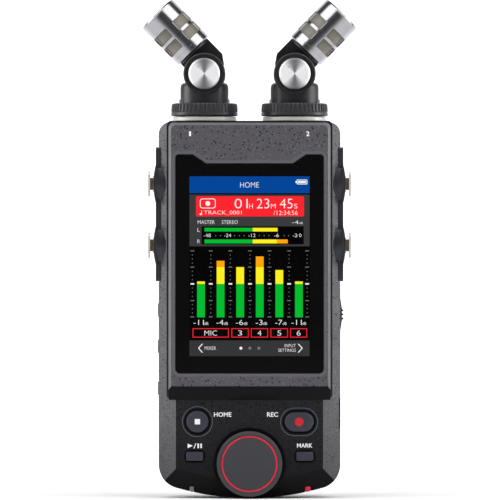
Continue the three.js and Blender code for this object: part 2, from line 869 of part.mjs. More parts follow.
function usbPort() {
  const { y, z, height, depth, shellWall, face, end } = usb;
  const shell = sweptX(roundedRectangle(y, z, depth, height, depth / 2 - 0.05), end, face, 1, 3);
  const mouth = sweptX(
    roundedRectangle(y, z, depth - 2 * shellWall, height - 2 * shellWall, depth / 2 - shellWall - 0.05),
    end + 1, face + 1, 1, 3);
  const tongue = box(end + 0.5, face - 0.9, y - 0.35, y + 0.35, z - height / 2 + 1.3, z + height / 2 - 1.3);
  return fuse(cut(shell, mouth), tongue);
}

function cardSocket() {
  const { y, z, halfHeight, halfDepth, face, end, slotDepth } = card;
  const housing = box(end, face, y - halfDepth, y + halfDepth, z - halfHeight, z + halfHeight);
  const slot = box(
    end + 1.5, face + 1, y - slotDepth / 2, y + slotDepth / 2, z - halfHeight + 1, z + halfHeight - 1);
  return cut(housing, slot);
}

// ---- power and sound inside the case ----

function batteryCell(x, upright) {
  const { radius, tipRadius, tipHeight, bottom, length } = battery;
  const profile = [
    [0, 0],
    [radius - 0.5, 0],
    [radius, 0.5],
    [radius, length - 0.5],
    [radius - 0.5, length],
    [tipRadius, length],
    [tipRadius, length + tipHeight],
    [0, length + tipHeight],
  ];
  const full = length + tipHeight;
  const placed = upright
    ? profile.map(([r, h]) => [r, bottom + h])
    : [...profile].reverse().map(([r, h]) => [r, bottom + full - h]);
  return turned(placed, round.medium, x, battery.y);
}

function contactStrip(z) {
  const { contactHalfWidth, contactFront, contactBack, contactThickness } = battery;
  return box(-contactHalfWidth, contactHalfWidth, contactFront, contactBack, z, z + contactThickness);
}

function batteryDoor() {
  const { halfWidth, bottom, top, thickness, gripRows, gripPitch, gripWidth, gripDepth, gripTop } = door;
  const plate = box(-halfWidth, halfWidth, hull.back - thickness, hull.back, bottom, top);
  const grooves = [];
  for (let i = 0; i < gripRows; i += 1) {
    const z = gripTop - i * gripPitch;
    grooves.push(box(-gripWidth / 2, gripWidth / 2, hull.back - gripDepth, reach, z - 0.5, z + 0.5));
  }
  return cut(plate, ...grooves);
}

function speakerDriver() {
  const { z, radius, magnetRadius, front, step } = speaker;
  const back = hull.back - wall - gap;
  return turnedY([
    [0, front],
    [magnetRadius, front],
    [magnetRadius, step],
    [radius, step],
    [radius, back],
    [0, back],
  ], round.medium, 0, z);
}

function tripodBushing() {
  const { z, radius, boreRadius, front, back, boreDepth } = tripod;
  const insert = turnedY(rod(radius, front, back), round.medium, 0, z);
  const bore = turnedY(rod(boreRadius, back - boreDepth, back + 1), round.medium, 0, z);
  return cut(insert, bore);
}

function caseScrew(x, z) {
  const headBack = hull.back - 0.15;
  const head = hull.back - screw.headDepth;
  const body = turnedY([
    [0, screw.end],
    [screw.radius, screw.end],
    [screw.radius, head],
    [screw.headRadius, head],
    [screw.headRadius, headBack],
    [0, headBack],
  ], round.small, x, z);
  const slotA = box(x - 1.4, x + 1.4, headBack - 0.7, reach, z - 0.3, z + 0.3);
  const slotB = box(x - 0.3, x + 0.3, headBack - 0.7, reach, z - 1.4, z + 1.4);
  return cut(body, slotA, slotB);
}

// ---- microphones ----

function micMount(sign) {
  return turned([
    [mic.boreRadius, mic.spigotBottom],
    [mic.spigotRadius, mic.spigotBottom],
    [mic.spigotRadius, mic.baseBottom],
    [mic.baseRadius, mic.baseBottom],
    [mic.baseRadius, mic.baseTop],
    [mic.neckRadius, mic.baseTop],
    [mic.neckRadius, mic.neckTop],
    [mic.boreRadius, mic.neckTop],
    [mic.boreRadius, mic.spigotBottom],
  ], round.large, sign * mic.x, mic.y);
}

// The clamping ring: a plain band below and ribs cut all round above it.
function lockRing(sign) {
  const ribs = new THREE.Shape();
  for (let i = 0; i < 2 * mic.ribCount; i += 1) {
    const radius = mic.ringRadius - (i % 2) * mic.ribDepth;
    const angle = Math.PI * i / mic.ribCount;
    const x = radius * Math.cos(angle);
    const y = radius * Math.sin(angle);
    if (i === 0) {
      ribs.moveTo(x, y);
    } else {
      ribs.lineTo(x, y);
    }
  }
  const ribbed = new THREE.ExtrudeGeometry(ribs, {
    depth: mic.ringTop - mic.ringBandTop,
    bevelEnabled: false,
  });
  ribbed.translate(sign * mic.x, mic.y, mic.ringBandTop);
  const band = turned(
    rod(mic.ringRadius, mic.ringBottom, mic.ringBandTop + 0.1), round.large, sign * mic.x, mic.y);
  const bore = turned(
    rod(mic.ringInner, mic.ringBottom - 1, mic.ringTop + 1), round.medium, sign * mic.x, mic.y);
  return cut(fuse(solidOf(ribbed), band), bore);
}

function micHolder(sign) {
  const x = sign * mic.x;
  const { holderRadius, holderBottom, holderTop, holderRound } = mic;
  const shoulder = [0, 30, 60, 90].map((degrees) => {
    const angle = THREE.MathUtils.degToRad(degrees);
    return [
      holderRadius - holderRound * (1 - Math.cos(angle)),
      holderTop - holderRound * (1 - Math.sin(angle)),
    ];
  });
  const post = turned(
    [[0, holderBottom], [holderRadius, holderBottom], ...shoulder, [0, holderTop]], round.large, x, mic.y);
  const ears = turnedY(rod(mic.earRadius, -mic.earOuter, mic.earOuter), round.large, x, mic.pivotZ, mic.y);
  const slot = box(
    x - reach, x + reach,
    mic.y - mic.slotHalf, mic.y + mic.slotHalf,
    mic.slotFloor, mic.slotFloor + reach,
  );
  const socket = turned(
    rod(mic.neckRadius + gap, mic.holderBottom - 1, mic.holderSocketTop), round.medium, x, mic.y);
  const pinHole = turnedY(
    rod(mic.pinRadius + gap, -mic.earOuter - 1, mic.earOuter + 1), round.small, x, mic.pivotZ, mic.y);
  return cut(fuse(post, ears), slot, socket, pinHole);
}

function pivotBolt(sign) {
  const capBack = -mic.earOuter - gap;
  const capFront = capBack - mic.capThickness;
  return turnedY([
    [0, capFront],
    [mic.capRadius - 0.5, capFront],
    [mic.capRadius, capFront + 0.5],
    [mic.capRadius, capBack],
    [mic.pinRadius, capBack],
    [mic.pinRadius, mic.earOuter],
    [0, mic.earOuter],
  ], round.medium, sign * mic.x, mic.pivotZ, mic.y);
}

// The tilting pieces are drawn upright about the pivot; their long axis is offset toward the
// middle of the recorder by `lean`. The arm is a flat blade between the ears of the holder,
// round at its outer heel and cut off at a slant on its inner side.
function micArm(lean) {
  const { armHalf, armHalfWidth, armTop, armCollar, armHeel, armFoot, armCornerX, armCornerDrop } = mic;
  const toward = Math.sign(lean);
  const outer = armHalfWidth - Math.abs(lean);
  const inner = armHalfWidth + Math.abs(lean);
  const outline = [[-outer, armTop], [-outer, 0]];
  for (const degrees of [210, 240, 270, 300]) {
    const angle = THREE.MathUtils.degToRad(degrees);
    outline.push([armHeel * Math.cos(angle), armHeel * Math.sin(angle)]);
  }
  outline.push([armCornerX, -armCornerDrop], [inner, armFoot], [inner, armTop]);
  const blade = new THREE.Shape(outline.map(([x, z]) => new THREE.Vector2(toward * x, z)));
  const plate = sweptY(blade, -armHalf, armHalf);
  const collar = turned(rod(armHalfWidth, armCollar, armTop), round.medium, lean, 0);
  const pinHole = turnedY(rod(mic.pinRadius + gap, -armHalf - 1, armHalf + 1), round.small, 0, 0);
  return cut(fuse(plate, collar), pinHole);
}

function micHead(lean) {
  const { headRadius, headBottom, headTop, headWall, headFloor, headLid, headChamfer, tipOpening } = mic;
  const inner = headRadius - headWall;
  const shell = turned([
    [0, headBottom],
    [headRadius - headChamfer, headBottom],
    [headRadius, headBottom + headChamfer],
    [headRadius, headTop - headChamfer],
    [headRadius - headChamfer, headTop],
    [tipOpening, headTop],
    [tipOpening, headTop - headLid],
    [inner, headTop - headLid],
    [inner, headFloor],
    [0, headFloor],
  ], round.large, lean, 0);
  const half = THREE.MathUtils.degToRad(mic.windowSpan / 2);
  const windows = mic.windowAngles.flatMap((degrees) => mic.windowRows.map((row) => {
    const middle = THREE.MathUtils.degToRad(degrees);
    const sector = new THREE.Shape();
    sector.absarc(0, 0, headRadius + 1, middle - half, middle + half, false);
    sector.absarc(0, 0, headRadius - 3, middle + half, middle - half, true);
    const geometry = new THREE.ExtrudeGeometry(sector, {
      depth: mic.windowHeight,
      bevelEnabled: false,
      curveSegments: 2,
    });
    geometry.translate(lean, 0, row);
    return solidOf(geometry);
  }));
  return cut(shell, ...windows);
}

function micScreen(lean) {
  const outer = mic.screenRadius;
  const inner = outer - mic.screenWall;
  const bottom = mic.headFloor + gap;
  const top = mic.headTop - mic.headLid - gap;
  return turned([
    [inner, bottom],
    [outer, bottom],
    [outer, top],
    [0, top],
    [0, top - mic.screenWall],
    [inner, top - mic.screenWall],
    [inner, bottom],
  ], round.medium, lean, 0);
}

// ---- assembly ----

const looks = {
  speckled: { color: 0x3e3c42, roughness: 0.62, metalness: 0.1 },
  blackPlastic: { color: 0x0e0e10, roughness: 0.5, metalness: 0.0 },
  glass: { color: 0x020203, roughness: 0.06, metalness: 0.0 },
  lcd: { color: 0x10161c, roughness: 0.3, metalness: 0.1 },
  board: { color: 0x0f4a2a, roughness: 0.6, metalness: 0.1 },
  keyTop: { color: 0x3c3e4b, roughness: 0.45, metalness: 0.1 },
  dialMetal: { color: 0x424246, roughness: 0.4, metalness: 0.7 },
  red: { color: 0xeb1e3c, roughness: 0.35, metalness: 0.0 },
  greyLens: { color: 0x9a9a98, roughness: 0.3, metalness: 0.0 },
  silver: { color: 0x969691, roughness: 0.4, metalness: 0.8 },
  gunmetal: { color: 0x55565a, roughness: 0.3, metalness: 0.9 },
  mesh: { color: 0xb9b4a5, roughness: 0.5, metalness: 0.6 },
  steel: { color: 0xa8a9ad, roughness: 0.3, metalness: 1.0 },
  brass: { color: 0xb08d57, roughness: 0.35, metalness: 1.0 },
  cellJacket: { color: 0x2a4f7a, roughness: 0.4, metalness: 0.3 },
};

const recorder = new THREE.Group();
recorder.name = 'field_recorder';

function place(name, solid, look, parent = recorder) {
  const mesh = new THREE.Mesh(geometryOf(solid), new THREE.MeshStandardMaterial(looks[look]));
  mesh.name = name;
  parent.add(mesh);
}

place('front_shell', frontShell(), 'speckled');
place('rear_shell', rearShell(), 'speckled');
place('display_bezel', displayBezel(), 'speckled');
place('screen_glass', screenGlass(), 'glass');
place('lcd_module', lcdModule(), 'lcd');
place('main_board', mainBoard(), 'board');
place('battery_door', batteryDoor(), 'speckled');
place('dial_encoder', dialEncoder(), 'steel');
place('dial_shaft', dialShaft(), 'steel');
place('dial', dialKnob(), 'dialMetal');
place('dial_ring', dialRing(), 'red');
place('power_slider_guide', powerGuide(), 'blackPlastic');
place('power_slider', powerSlider(), 'blackPlastic');
place('usb_port', usbPort(), 'steel');
place('card_socket', cardSocket(), 'steel');
place('speaker_driver', speakerDriver(), 'blackPlastic');
place('tripod_bushing', tripodBushing(), 'brass');
place('lower_contact', contactStrip(battery.bayBottom + 1), 'steel');
place('upper_contact', contactStrip(battery.bayTop - 1 - battery.contactThickness), 'steel');

for (const key of keys) {
  place(key.name, pressKey(key), 'keyTop');
}

for (const [index, light] of tally.entries()) {
  place(light.name, tallyLight(light), index === 0 ? 'greyLens' : 'red');
}

for (const outlet of miniJack.outlets) {
  place(outlet.name, smallJack(outlet.z), 'blackPlastic');
}

for (let i = 0; i < 4; i += 1) {
  place(`battery_cell_${i + 1}`, batteryCell((i - 1.5) * battery.pitch, i % 2 === 0), 'cellJacket');
}

for (const [index, { x, z }] of screwPlaces().entries()) {
  place(`case_screw_${index + 1}`, caseScrew(x, z), 'steel');
}

for (const { name, sign } of sides) {
  place(`${name}_flank_panel`, flankPanel(sign), 'blackPlastic');
  for (const level of jack.levels) {
    place(`${name}_${level.name}_jack`, comboJack(sign, level.z), 'blackPlastic');
    place(`${name}_${level.name}_release_tab`, releaseTab(sign, level.z), 'steel');
  }
  place(`${name}_mic_mount`, micMount(sign), 'silver');
  place(`${name}_lock_ring`, lockRing(sign), 'blackPlastic');
  place(`${name}_mic_holder`, micHolder(sign), 'blackPlastic');
  place(`${name}_pivot_bolt`, pivotBolt(sign), 'steel');
  const tilting = new THREE.Group();
  tilting.name = `${name}_tilting_mic`;
  tilting.position.set(sign * mic.x, mic.y, mic.pivotZ);
  tilting.rotation.y = THREE.MathUtils.degToRad(sign * mic.tiltDegrees);
  const lean = -sign * mic.headOffset;
  place(`${name}_mic_arm`, micArm(lean), 'blackPlastic', tilting);
  place(`${name}_mic_head`, micHead(lean), 'gunmetal', tilting);
  place(`${name}_mic_screen`, micScreen(lean), 'mesh', tilting);
  recorder.add(tilting);
}

export default recorder;
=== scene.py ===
"""A hand-held field recorder with tilting microphones, dressed for a studio picture.

Lengths in the tables and calls below are millimetres unless a name says otherwise. Places are
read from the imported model. The screen faces -Y and the microphones point up.
"""
import json
import math

import bmesh
import bpy
from mathutils import Matrix, Vector


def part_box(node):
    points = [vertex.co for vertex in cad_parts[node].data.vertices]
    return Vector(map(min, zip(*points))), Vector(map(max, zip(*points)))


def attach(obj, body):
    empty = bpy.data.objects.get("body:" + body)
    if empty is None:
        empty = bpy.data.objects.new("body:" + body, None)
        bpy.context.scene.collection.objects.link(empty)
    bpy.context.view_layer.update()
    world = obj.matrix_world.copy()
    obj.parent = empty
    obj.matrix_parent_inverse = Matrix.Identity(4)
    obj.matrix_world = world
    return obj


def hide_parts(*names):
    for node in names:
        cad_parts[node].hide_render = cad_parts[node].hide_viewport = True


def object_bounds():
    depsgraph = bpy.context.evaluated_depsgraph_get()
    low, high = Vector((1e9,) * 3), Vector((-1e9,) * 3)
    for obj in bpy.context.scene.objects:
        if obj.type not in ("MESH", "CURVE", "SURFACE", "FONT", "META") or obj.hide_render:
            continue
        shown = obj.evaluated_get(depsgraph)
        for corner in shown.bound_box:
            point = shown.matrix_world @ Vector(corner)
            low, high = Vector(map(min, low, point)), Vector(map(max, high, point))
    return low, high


MM = 0.001
SIDES = (("left", -1), ("right", 1))
LEVELS = ("upper", "lower")
ROUND = 96

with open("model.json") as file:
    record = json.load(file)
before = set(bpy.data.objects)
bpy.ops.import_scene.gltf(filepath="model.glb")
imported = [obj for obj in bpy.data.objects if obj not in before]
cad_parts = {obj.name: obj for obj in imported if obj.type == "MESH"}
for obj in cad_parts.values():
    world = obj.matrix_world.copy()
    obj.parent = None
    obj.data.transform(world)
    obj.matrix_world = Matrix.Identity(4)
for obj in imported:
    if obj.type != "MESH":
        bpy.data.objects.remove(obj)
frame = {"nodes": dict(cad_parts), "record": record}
cad_bounds = [list(corner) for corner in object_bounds()]


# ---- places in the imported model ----

def low(node):
    return Vector(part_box(node)[0]) / MM


def high(node):
    return Vector(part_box(node)[1]) / MM


def middle(node):
    return (low(node) + high(node)) / 2


def pivot_of(name):
    joints = frame["record"]["behaviour"]["joints"]
    return Vector(next(joint for joint in joints if joint["name"] == name)["pos_m"]) / MM


# ---- mesh tools ----

def linked(name, data):
    """A new object that stands in the scene."""
    thing = bpy.data.objects.new(name, data)
    bpy.context.scene.collection.objects.link(thing)
    return thing


def add_piece(name, bm, material, body="case", matrix=None, bevel=0.0, segments=2, angle=32):
    """Turns a bmesh in metres into a shaded piece that rides on a CAD body."""
    bmesh.ops.recalc_face_normals(bm, faces=bm.faces)
    mesh = bpy.data.meshes.new(name)
    bm.to_mesh(mesh)
    bm.free()
    piece = linked(name, mesh)
    for entry in material if isinstance(material, list) else [material]:
        mesh.materials.append(entry)
    if matrix is not None:
        piece.matrix_world = matrix
    soften(piece, bevel, segments, angle)
    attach(piece, body)
    return piece


def soften(piece, width, segments=2, angle=32):
    mesh = piece.data
    mesh.shade_smooth()
    if width <= 0:
        mesh.set_sharp_from_angle(angle=math.radians(angle))
        return
    bevel = piece.modifiers.new("edge", "BEVEL")
    bevel.width = width * MM
    bevel.segments = segments
    bevel.limit_method = "ANGLE"
    bevel.angle_limit = math.radians(angle)
    bevel.use_clamp_overlap = True
    normals = piece.modifiers.new("normals", "WEIGHTED_NORMAL")
    normals.keep_sharp = True


def turned(profile, segments=ROUND, closed=False, groove=None):
    """[radius, height] points turned about Z; groove maps (row, step) to a depth taken off."""
    bm = bmesh.new()
    rings = []
    for row, (radius, height) in enumerate(profile):
        if radius < 1e-6:
            rings.append([bm.verts.new((0, 0, height * MM))])
            continue
        ring = []
        for step in range(segments):
            turn = 2 * math.pi * step / segments
            reach = radius - (groove(row, step) if groove else 0)
            ring.append(bm.verts.new((
                reach * MM * math.cos(turn), reach * MM * math.sin(turn), height * MM)))
        rings.append(ring)
    pairs = list(zip(rings, rings[1:]))
    if closed:
        pairs.append((rings[-1], rings[0]))
    for below, above in pairs:
        for step in range(segments):
            after = (step + 1) % segments
            corners = []
            for ring, index in ((below, step), (below, after), (above, after), (above, step)):
                vert = ring[index % len(ring)]
                if vert not in corners:
                    corners.append(vert)
            if len(corners) > 2:
                bm.faces.new(corners)
    return bm


def loop(bm, outline, y):
    """Vertices on an outline of (x, z) points at a depth."""
    return [bm.verts.new((x * MM, y * MM, z * MM)) for x, z in outline]


def skirt(bm, here, there):
    """Joins two loops with the same number of vertices by a strip of faces."""
    following = here[1:] + here[:1], there[1:] + there[:1]
    return [bm.faces.new(corners) for corners in zip(here, following[0], following[1], there)]


def prism(outline, y0, y1):
    """An outline of (x, z) points swept along Y."""
    bm = bmesh.new()
    near, far = loop(bm, outline, y0), loop(bm, outline, y1)
    bm.faces.new(near)
    bm.faces.new(list(reversed(far)))
    skirt(bm, near, far)
    return bm


def frame_prism(outer, inner, y0, y1):
    """The space between two outlines with the same number of points, swept along Y."""
    bm = bmesh.new()
    loops = [loop(bm, *corner) for corner in ((outer, y0), (outer, y1), (inner, y1), (inner, y0))]
    for here, there in zip(loops, loops[1:] + loops[:1]):
        skirt(bm, here, there)
    return bm


def arc(cx, cz, radius, start, end, steps):
    """Points on a circle in the XZ plane between two angles in degrees."""
    turns = [math.radians(start + (end - start) * k / steps) for k in range(steps + 1)]
    return [(cx + radius * math.cos(turn), cz + radius * math.sin(turn)) for turn in turns]


def mirrored(points):
    """An outline's right half followed by its mirror image."""
    return points + [(-x, z) for x, z in reversed(points)]


def rounded(cx, cz, width, height, radius, steps=10):
    """A rounded rectangle as (x, z) points."""
    points = []
    for sx, sz, start in ((1, -1, -90), (1, 1, 0), (-1, 1, 90), (-1, -1, 180)):
        corner_x = cx + sx * (width / 2 - radius)
        corner_z = cz + sz * (height / 2 - radius)
        points += arc(corner_x, corner_z, radius, start, start + 90, steps)
    return points


def disc(cx, cz, diameter, steps=10):
    """A round outline; its radius is a hair short of half, so that no two corners meet."""
    return rounded(cx, cz, diameter, diameter, diameter / 2 - 0.01, steps)


def band(inner, outer, start, end, segments=ROUND):
    """A square-cut ring turned about Z."""
    return turned([[inner, start], [outer, start], [outer, end], [inner, end]], segments, True)


def block(x0, x1, y0, y1, z0, z1):
    return prism([(x0, z0), (x1, z0), (x1, z1), (x0, z1)], y0, y1)


def moved(bm, matrix):
    bmesh.ops.transform(bm, matrix=matrix, verts=bm.verts)
    return bm


def at(x, y, z):
    return Matrix.Translation(Vector((x, y, z)) * MM)


def along(x, y, z, direction):
    """Stands a piece that was turned about Z at a place, pointing in a direction."""
    turn = Vector((0, 0, 1)).rotation_difference(Vector(direction)).to_matrix().to_4x4()
    return at(x, y, z) @ turn


def joined(*parts):
    whole = parts[0]
    for part in parts[1:]:
        spare = bpy.data.meshes.new("spare")
        part.to_mesh(spare)
        part.free()
        whole.from_mesh(spare)
        bpy.data.meshes.remove(spare)
    return whole


def carved(bm, *tools):
    """bm with the tools taken away."""
    holder = linked("holder", bpy.data.meshes.new("holder"))
    cutter = linked("cutter", bpy.data.meshes.new("cutter"))
    bmesh.ops.recalc_face_normals(bm, faces=bm.faces)
    bm.to_mesh(holder.data)
    bm.free()
    modifier = holder.modifiers.new("carve", "BOOLEAN")
    modifier.object = cutter
    modifier.solver = "EXACT"
    for tool in tools:
        bmesh.ops.recalc_face_normals(tool, faces=tool.faces)
        tool.to_mesh(cutter.data)
        tool.free()
        bpy.context.view_layer.update()
        evaluated = holder.evaluated_get(bpy.context.evaluated_depsgraph_get())
        holder.data = bpy.data.meshes.new_from_object(evaluated)
    out = bmesh.new()
    out.from_mesh(holder.data)
    bpy.data.objects.remove(holder)
    bpy.data.objects.remove(cutter)
    return out


# ---- materials ----

def linear(value):
    value /= 255
    return value / 12.92 if value <= 0.04045 else ((value + 0.055) / 1.055) ** 2.4


def colour(red, green, blue):
    return (linear(red), linear(green), linear(blue), 1.0)


class Look:
    """A principled material under construction."""

    def __init__(self, name, base, roughness, metallic=0.0):
        self.material = bpy.data.materials.new(name)
        self.material.use_nodes = True
        self.tree = self.material.node_tree
        self.shader = self.tree.nodes["Principled BSDF"]
        self.set("Base Color", base)
        self.set("Roughness", roughness)
        self.set("Metallic", metallic)
        self.base = base
        self.roughness = roughness
        self.height = None
        self.coords = self.tree.nodes.new("ShaderNodeTexCoord").outputs["Object"]

    def feed(self, socket, value):
        """Gives a socket a plain value, or links another node's output to it."""
        if isinstance(value, bpy.types.NodeSocket):
            self.tree.links.new(value, socket)
        else:
            socket.default_value = value

    def set(self, name, value):
        self.feed(self.shader.inputs[name], value)

    def node(self, kind, inputs):
        node = self.tree.nodes.new("ShaderNode" + kind)
        for key, value in inputs.items():
            self.feed(node.inputs[key], value)
        return node

    def maths(self, operation, *values):
        node = self.node("Math", dict(enumerate(values)))
        node.operation = operation
        return node.outputs[0]

    def axes(self):
        return self.node("SeparateXYZ", {0: self.coords}).outputs

    def noise(self, scale, detail=3.0):
        inputs = {"Scale": scale, "Detail": detail, "Vector": self.coords}
        return self.node("TexNoise", inputs).outputs["Fac"]

    def specks(self, scale, size):
        cells = self.node("TexVoronoi", {"Scale": scale, "Vector": self.coords})
        return self.ranged(cells.outputs["Distance"], size, size * 0.6)

    def ranged(self, source, low_value, high_value, low_out=0.0, high_out=1.0):
        """Stretches a source so that its low and high values come out as two others, and clamps it."""
        return self.node("MapRange", {
            "Value": source, "From Min": low_value, "From Max": high_value,
            "To Min": low_out, "To Max": high_out}).outputs["Result"]

    def tint(self, mask, other):
        """Mixes another colour in where the mask is 1."""
        mix = self.tree.nodes.new("ShaderNodeMix")
        mix.data_type = "RGBA"
        socket = self.shader.inputs["Base Color"]
        self.feed(mix.inputs[6], socket.links[0].from_socket if socket.links else self.base)
        self.feed(mix.inputs[7], other)
        self.feed(mix.inputs[0], mask)
        self.feed(socket, mix.outputs[2])

    def rub(self, mask, spread):
        """Varies the roughness by a small amount."""
        result = self.ranged(mask, 0.3, 0.7, self.roughness - spread, self.roughness + spread)
        self.set("Roughness", result)

    def relief(self, mask, strength, distance):
        """Adds a fine bump on top of any earlier one; the distance is in millimetres."""
        bump = self.node("Bump", {"Strength": strength, "Distance": distance * MM, "Height": mask})
        if self.height is not None:
            self.feed(bump.inputs["Normal"], self.height)
        self.height = bump.outputs["Normal"]
        self.set("Normal", self.height)


def plastic(name, base, roughness, grain=0.25, sheen=0.5):
    look = Look(name, colour(*base), roughness)
    look.set("Specular IOR Level", sheen)
    look.rub(look.noise(120), 0.06)
    look.relief(look.noise(3500, 2.0), grain, 0.04)
    return look.material


# Painted shade: the height below which the speckled plastic darkens towards the foot, and the colour it
# darkens to.
PAINTED_SHADE_TOP = 46
PAINTED_SHADE_COLOUR = (7, 7, 9)
BLACK_SPECK = (9, 9, 11)


def speckled_plastic(name, base, shade, sheen=0.5):
    """Moulded plastic with painted shade that darkens it towards the foot; shade is the grey of its pale
    specks.
    """
    look = Look(name, colour(*base), 0.5)
    look.set("Specular IOR Level", sheen)
    look.tint(look.noise(60, 4.0), tuple(0.85 * channel for channel in look.base[:3]) + (1.0,))
    look.tint(look.specks(640, 0.32), colour(*BLACK_SPECK))
    look.tint(look.specks(900, 0.20), colour(shade, shade, shade + 5))
    # Painted shade: the colour darkens towards the foot, below a set height.
    look.tint(look.ranged(look.axes()["Z"], PAINTED_SHADE_TOP * MM, 0, 0, 0.95), colour(*PAINTED_SHADE_COLOUR))
    look.rub(look.noise(200), 0.07)
    look.relief(look.noise(3000, 2.0), 0.35, 0.05)
    return look.material


def matte_metal(name, base, roughness):
    """A thin bead-blasted metal finish with a soft sheen."""
    look = Look(name, colour(*base), roughness, 0.3)
    look.rub(look.noise(900, 4.0), 0.05)
    look.relief(look.noise(3200, 2.0), 0.2, 0.03)
    return look.material


def metal(name, base, roughness, streak=(1, 1, 1), spread=0.05):
    look = Look(name, colour(*base), roughness, 1.0)
    look.coords = look.node("Mapping", {"Scale": streak, "Vector": look.coords}).outputs["Vector"]
    look.rub(look.noise(900, 4.0), spread)
    look.relief(look.noise(2500, 2.0), 0.12, 0.02)
    return look.material


WIRES_ROUND = 110.0
WIRES_UP = 15000.0
CAP_TURNING = 16000.0


def woven_mesh():
    """Fine wire cloth wrapped round the piece's own Z axis."""
    look = Look("wire_mesh", colour(132, 128, 118), 0.45, 0.3)
    x, y, z = look.axes()
    around = look.maths("SINE", look.maths("MULTIPLY", look.maths("ARCTAN2", y, x), WIRES_ROUND))
    upward = look.maths("SINE", look.maths("MULTIPLY", z, WIRES_UP))
    weave = look.maths("MULTIPLY", around, upward)
    look.tint(look.ranged(weave, 0.1, 0.5), colour(58, 55, 49))
    look.relief(weave, 0.5, 0.05)
    return look.material


def turned_cap():
    """Bright turned metal with a painted reflection: its colour darkens in two wedges, above and below
    the middle.
    """
    look = Look("cap_metal", colour(236, 236, 238), 0.32, 0.25)
    x, y, _ = look.axes()
    # Painted reflection: two darker wedges stand in for the turned metal's sheen.
    painted_reflection_wedge = look.maths("COSINE", look.maths("MULTIPLY", look.maths("ARCTAN2", y, x), 2.0))
    look.tint(look.ranged(painted_reflection_wedge, 0.2, -1.0), colour(108, 108, 112))
    squares = look.maths("ADD", look.maths("MULTIPLY", x, x), look.maths("MULTIPLY", y, y))
    rings = look.maths("SINE", look.maths("MULTIPLY", look.maths("SQRT", squares), CAP_TURNING))
    look.relief(rings, 0.12, 0.02)
    look.rub(look.noise(600), 0.05)
    return look.material


def lit(name, red, green, blue):
    """A lit area of the display behind its cover."""
    look = Look(name, (0, 0, 0, 1), 0.12)
    look.set("Emission Color", colour(red, green, blue))
    look.set("Emission Strength", 1.0)
    look.set("Specular IOR Level", 0.2)
    look.rub(look.noise(400), 0.03)
    return look.material


def printed(name, red, green, blue):
    look = Look(name, colour(red, green, blue), 0.5)
    look.rub(look.noise(300), 0.08)
    look.relief(look.noise(4000), 0.15, 0.02)
    return look.material


def black_glass():
    look = Look("screen_glass", colour(5, 5, 6), 0.05)
    look.rub(look.noise(90, 5.0), 0.02)
    look.tint(look.noise(40), colour(2, 2, 3))
    return look.material


looks = {"screen_glass": black_glass(), "wire_mesh": woven_mesh()}
for build, name, *values in (
    (speckled_plastic, "speckled_plastic", (74, 72, 78), 124),
    (plastic, "black_plastic", (22, 22, 24), 0.42),
    (plastic, "lcd", (20, 26, 30), 0.3),
    (plastic, "board", (16, 74, 42), 0.5),
    (plastic, "key_top", (48, 49, 61), 0.38, 0.25, 0.35),
    (matte_metal, "dial_metal", (56, 55, 61), 0.5),
    (plastic, "red_plastic", (228, 24, 54), 0.3, 0.1),
    (plastic, "grey_lens", (120, 120, 120), 0.3, 0.1),
    (matte_metal, "silver_metal", (206, 206, 200), 0.45),
    (metal, "gunmetal", (168, 168, 172), 0.19, (1, 1, 4), 0.03),
    (metal, "steel", (190, 190, 194), 0.28),
    (metal, "brass", (190, 158, 104), 0.34),
    (plastic, "cell_jacket", (44, 82, 126), 0.35),
):
    looks[name] = build(name, *values)
gloss_black = plastic("gloss_black", (6, 6, 8), 0.2, 0.05, 0.1)
# Painted shade: a darker copy of the speckled plastic for the lower deck.
deck_painted_shade = speckled_plastic("deck_painted_shade", (36, 36, 40), 62, 0.15)
# Painted shade: a near-black copy of the speckled plastic for the down-facing nose.
nose_painted_shade = speckled_plastic("nose_painted_shade", (10, 10, 12), 24, 0.1)
# Painted highlight: a lighter plastic for the face plate's chamfers.
edge_painted_highlight = plastic("edge_painted_highlight", (80, 80, 85), 0.4)
ring_black = plastic("ring_black", (38, 38, 42), 0.36, 0.2)
flank_plastic = plastic("flank_plastic", (36, 37, 43), 0.4)
tab_metal = matte_metal("tab_metal", (222, 220, 214), 0.35)
stem_metal = matte_metal("stem_metal", (92, 84, 68), 0.3)
satin_black = plastic("satin_black", (14, 14, 16), 0.36, 0.2)
holder_black = plastic("holder_black", (17, 17, 19), 0.34, 0.2)
cap_metal = turned_cap()
rim_grey = plastic("rim_grey", (84, 84, 90), 0.4)
label_white = printed("label_white", 236, 236, 238)
label_red = printed("label_red", 190, 4, 14)


# ---- CAD nodes that are kept ----

def dress_kept_nodes():
    """Gives every node its slot's material, and the shells and a few small parts a small softened edge.
    """
    for entry in frame["record"]["subparts"]:
        node = frame["nodes"][entry["node"]]
        node.data.materials.clear()
        node.data.materials.append(looks[entry["material_slot"]])
    shell = frame["nodes"]["front_shell"].data
    shell.materials.append(deck_painted_shade)
    shell.materials.append(nose_painted_shade)
    for face in shell.polygons:
        # Painted shade: front-facing faces of the lower deck get the darker copy of the speckled plastic.
        if face.normal.y < -0.95:
            face.material_index = 1
        # Painted shade: faces that look downward get the near-black nose plastic.
        elif face.normal.z < -0.2:
            face.material_index = 2
    for name in ("front_shell", "rear_shell", "battery_door"):
        soften(frame["nodes"][name], 0.25, 2, 40)
    for name in ("usb_port", "power_slider", "power_slider_guide", "peak_light", "rec_light"):
        soften(frame["nodes"][name], 0.12, 2, 40)


# ---- display ----

GLASS_LIP = 1.4
GLASS_HEAD_CORNER = 1.2
GLASS_FOOT_CORNER = 1.7
GLASS_SHOULDER = 23.3
GLASS_DIP_HALF = 17.8
GLASS_DIP = 3.7
BEZEL_EDGE = 1.1
BEZEL_SLOPE_TOP = 46.5
BEZEL_CORNER = 2.0
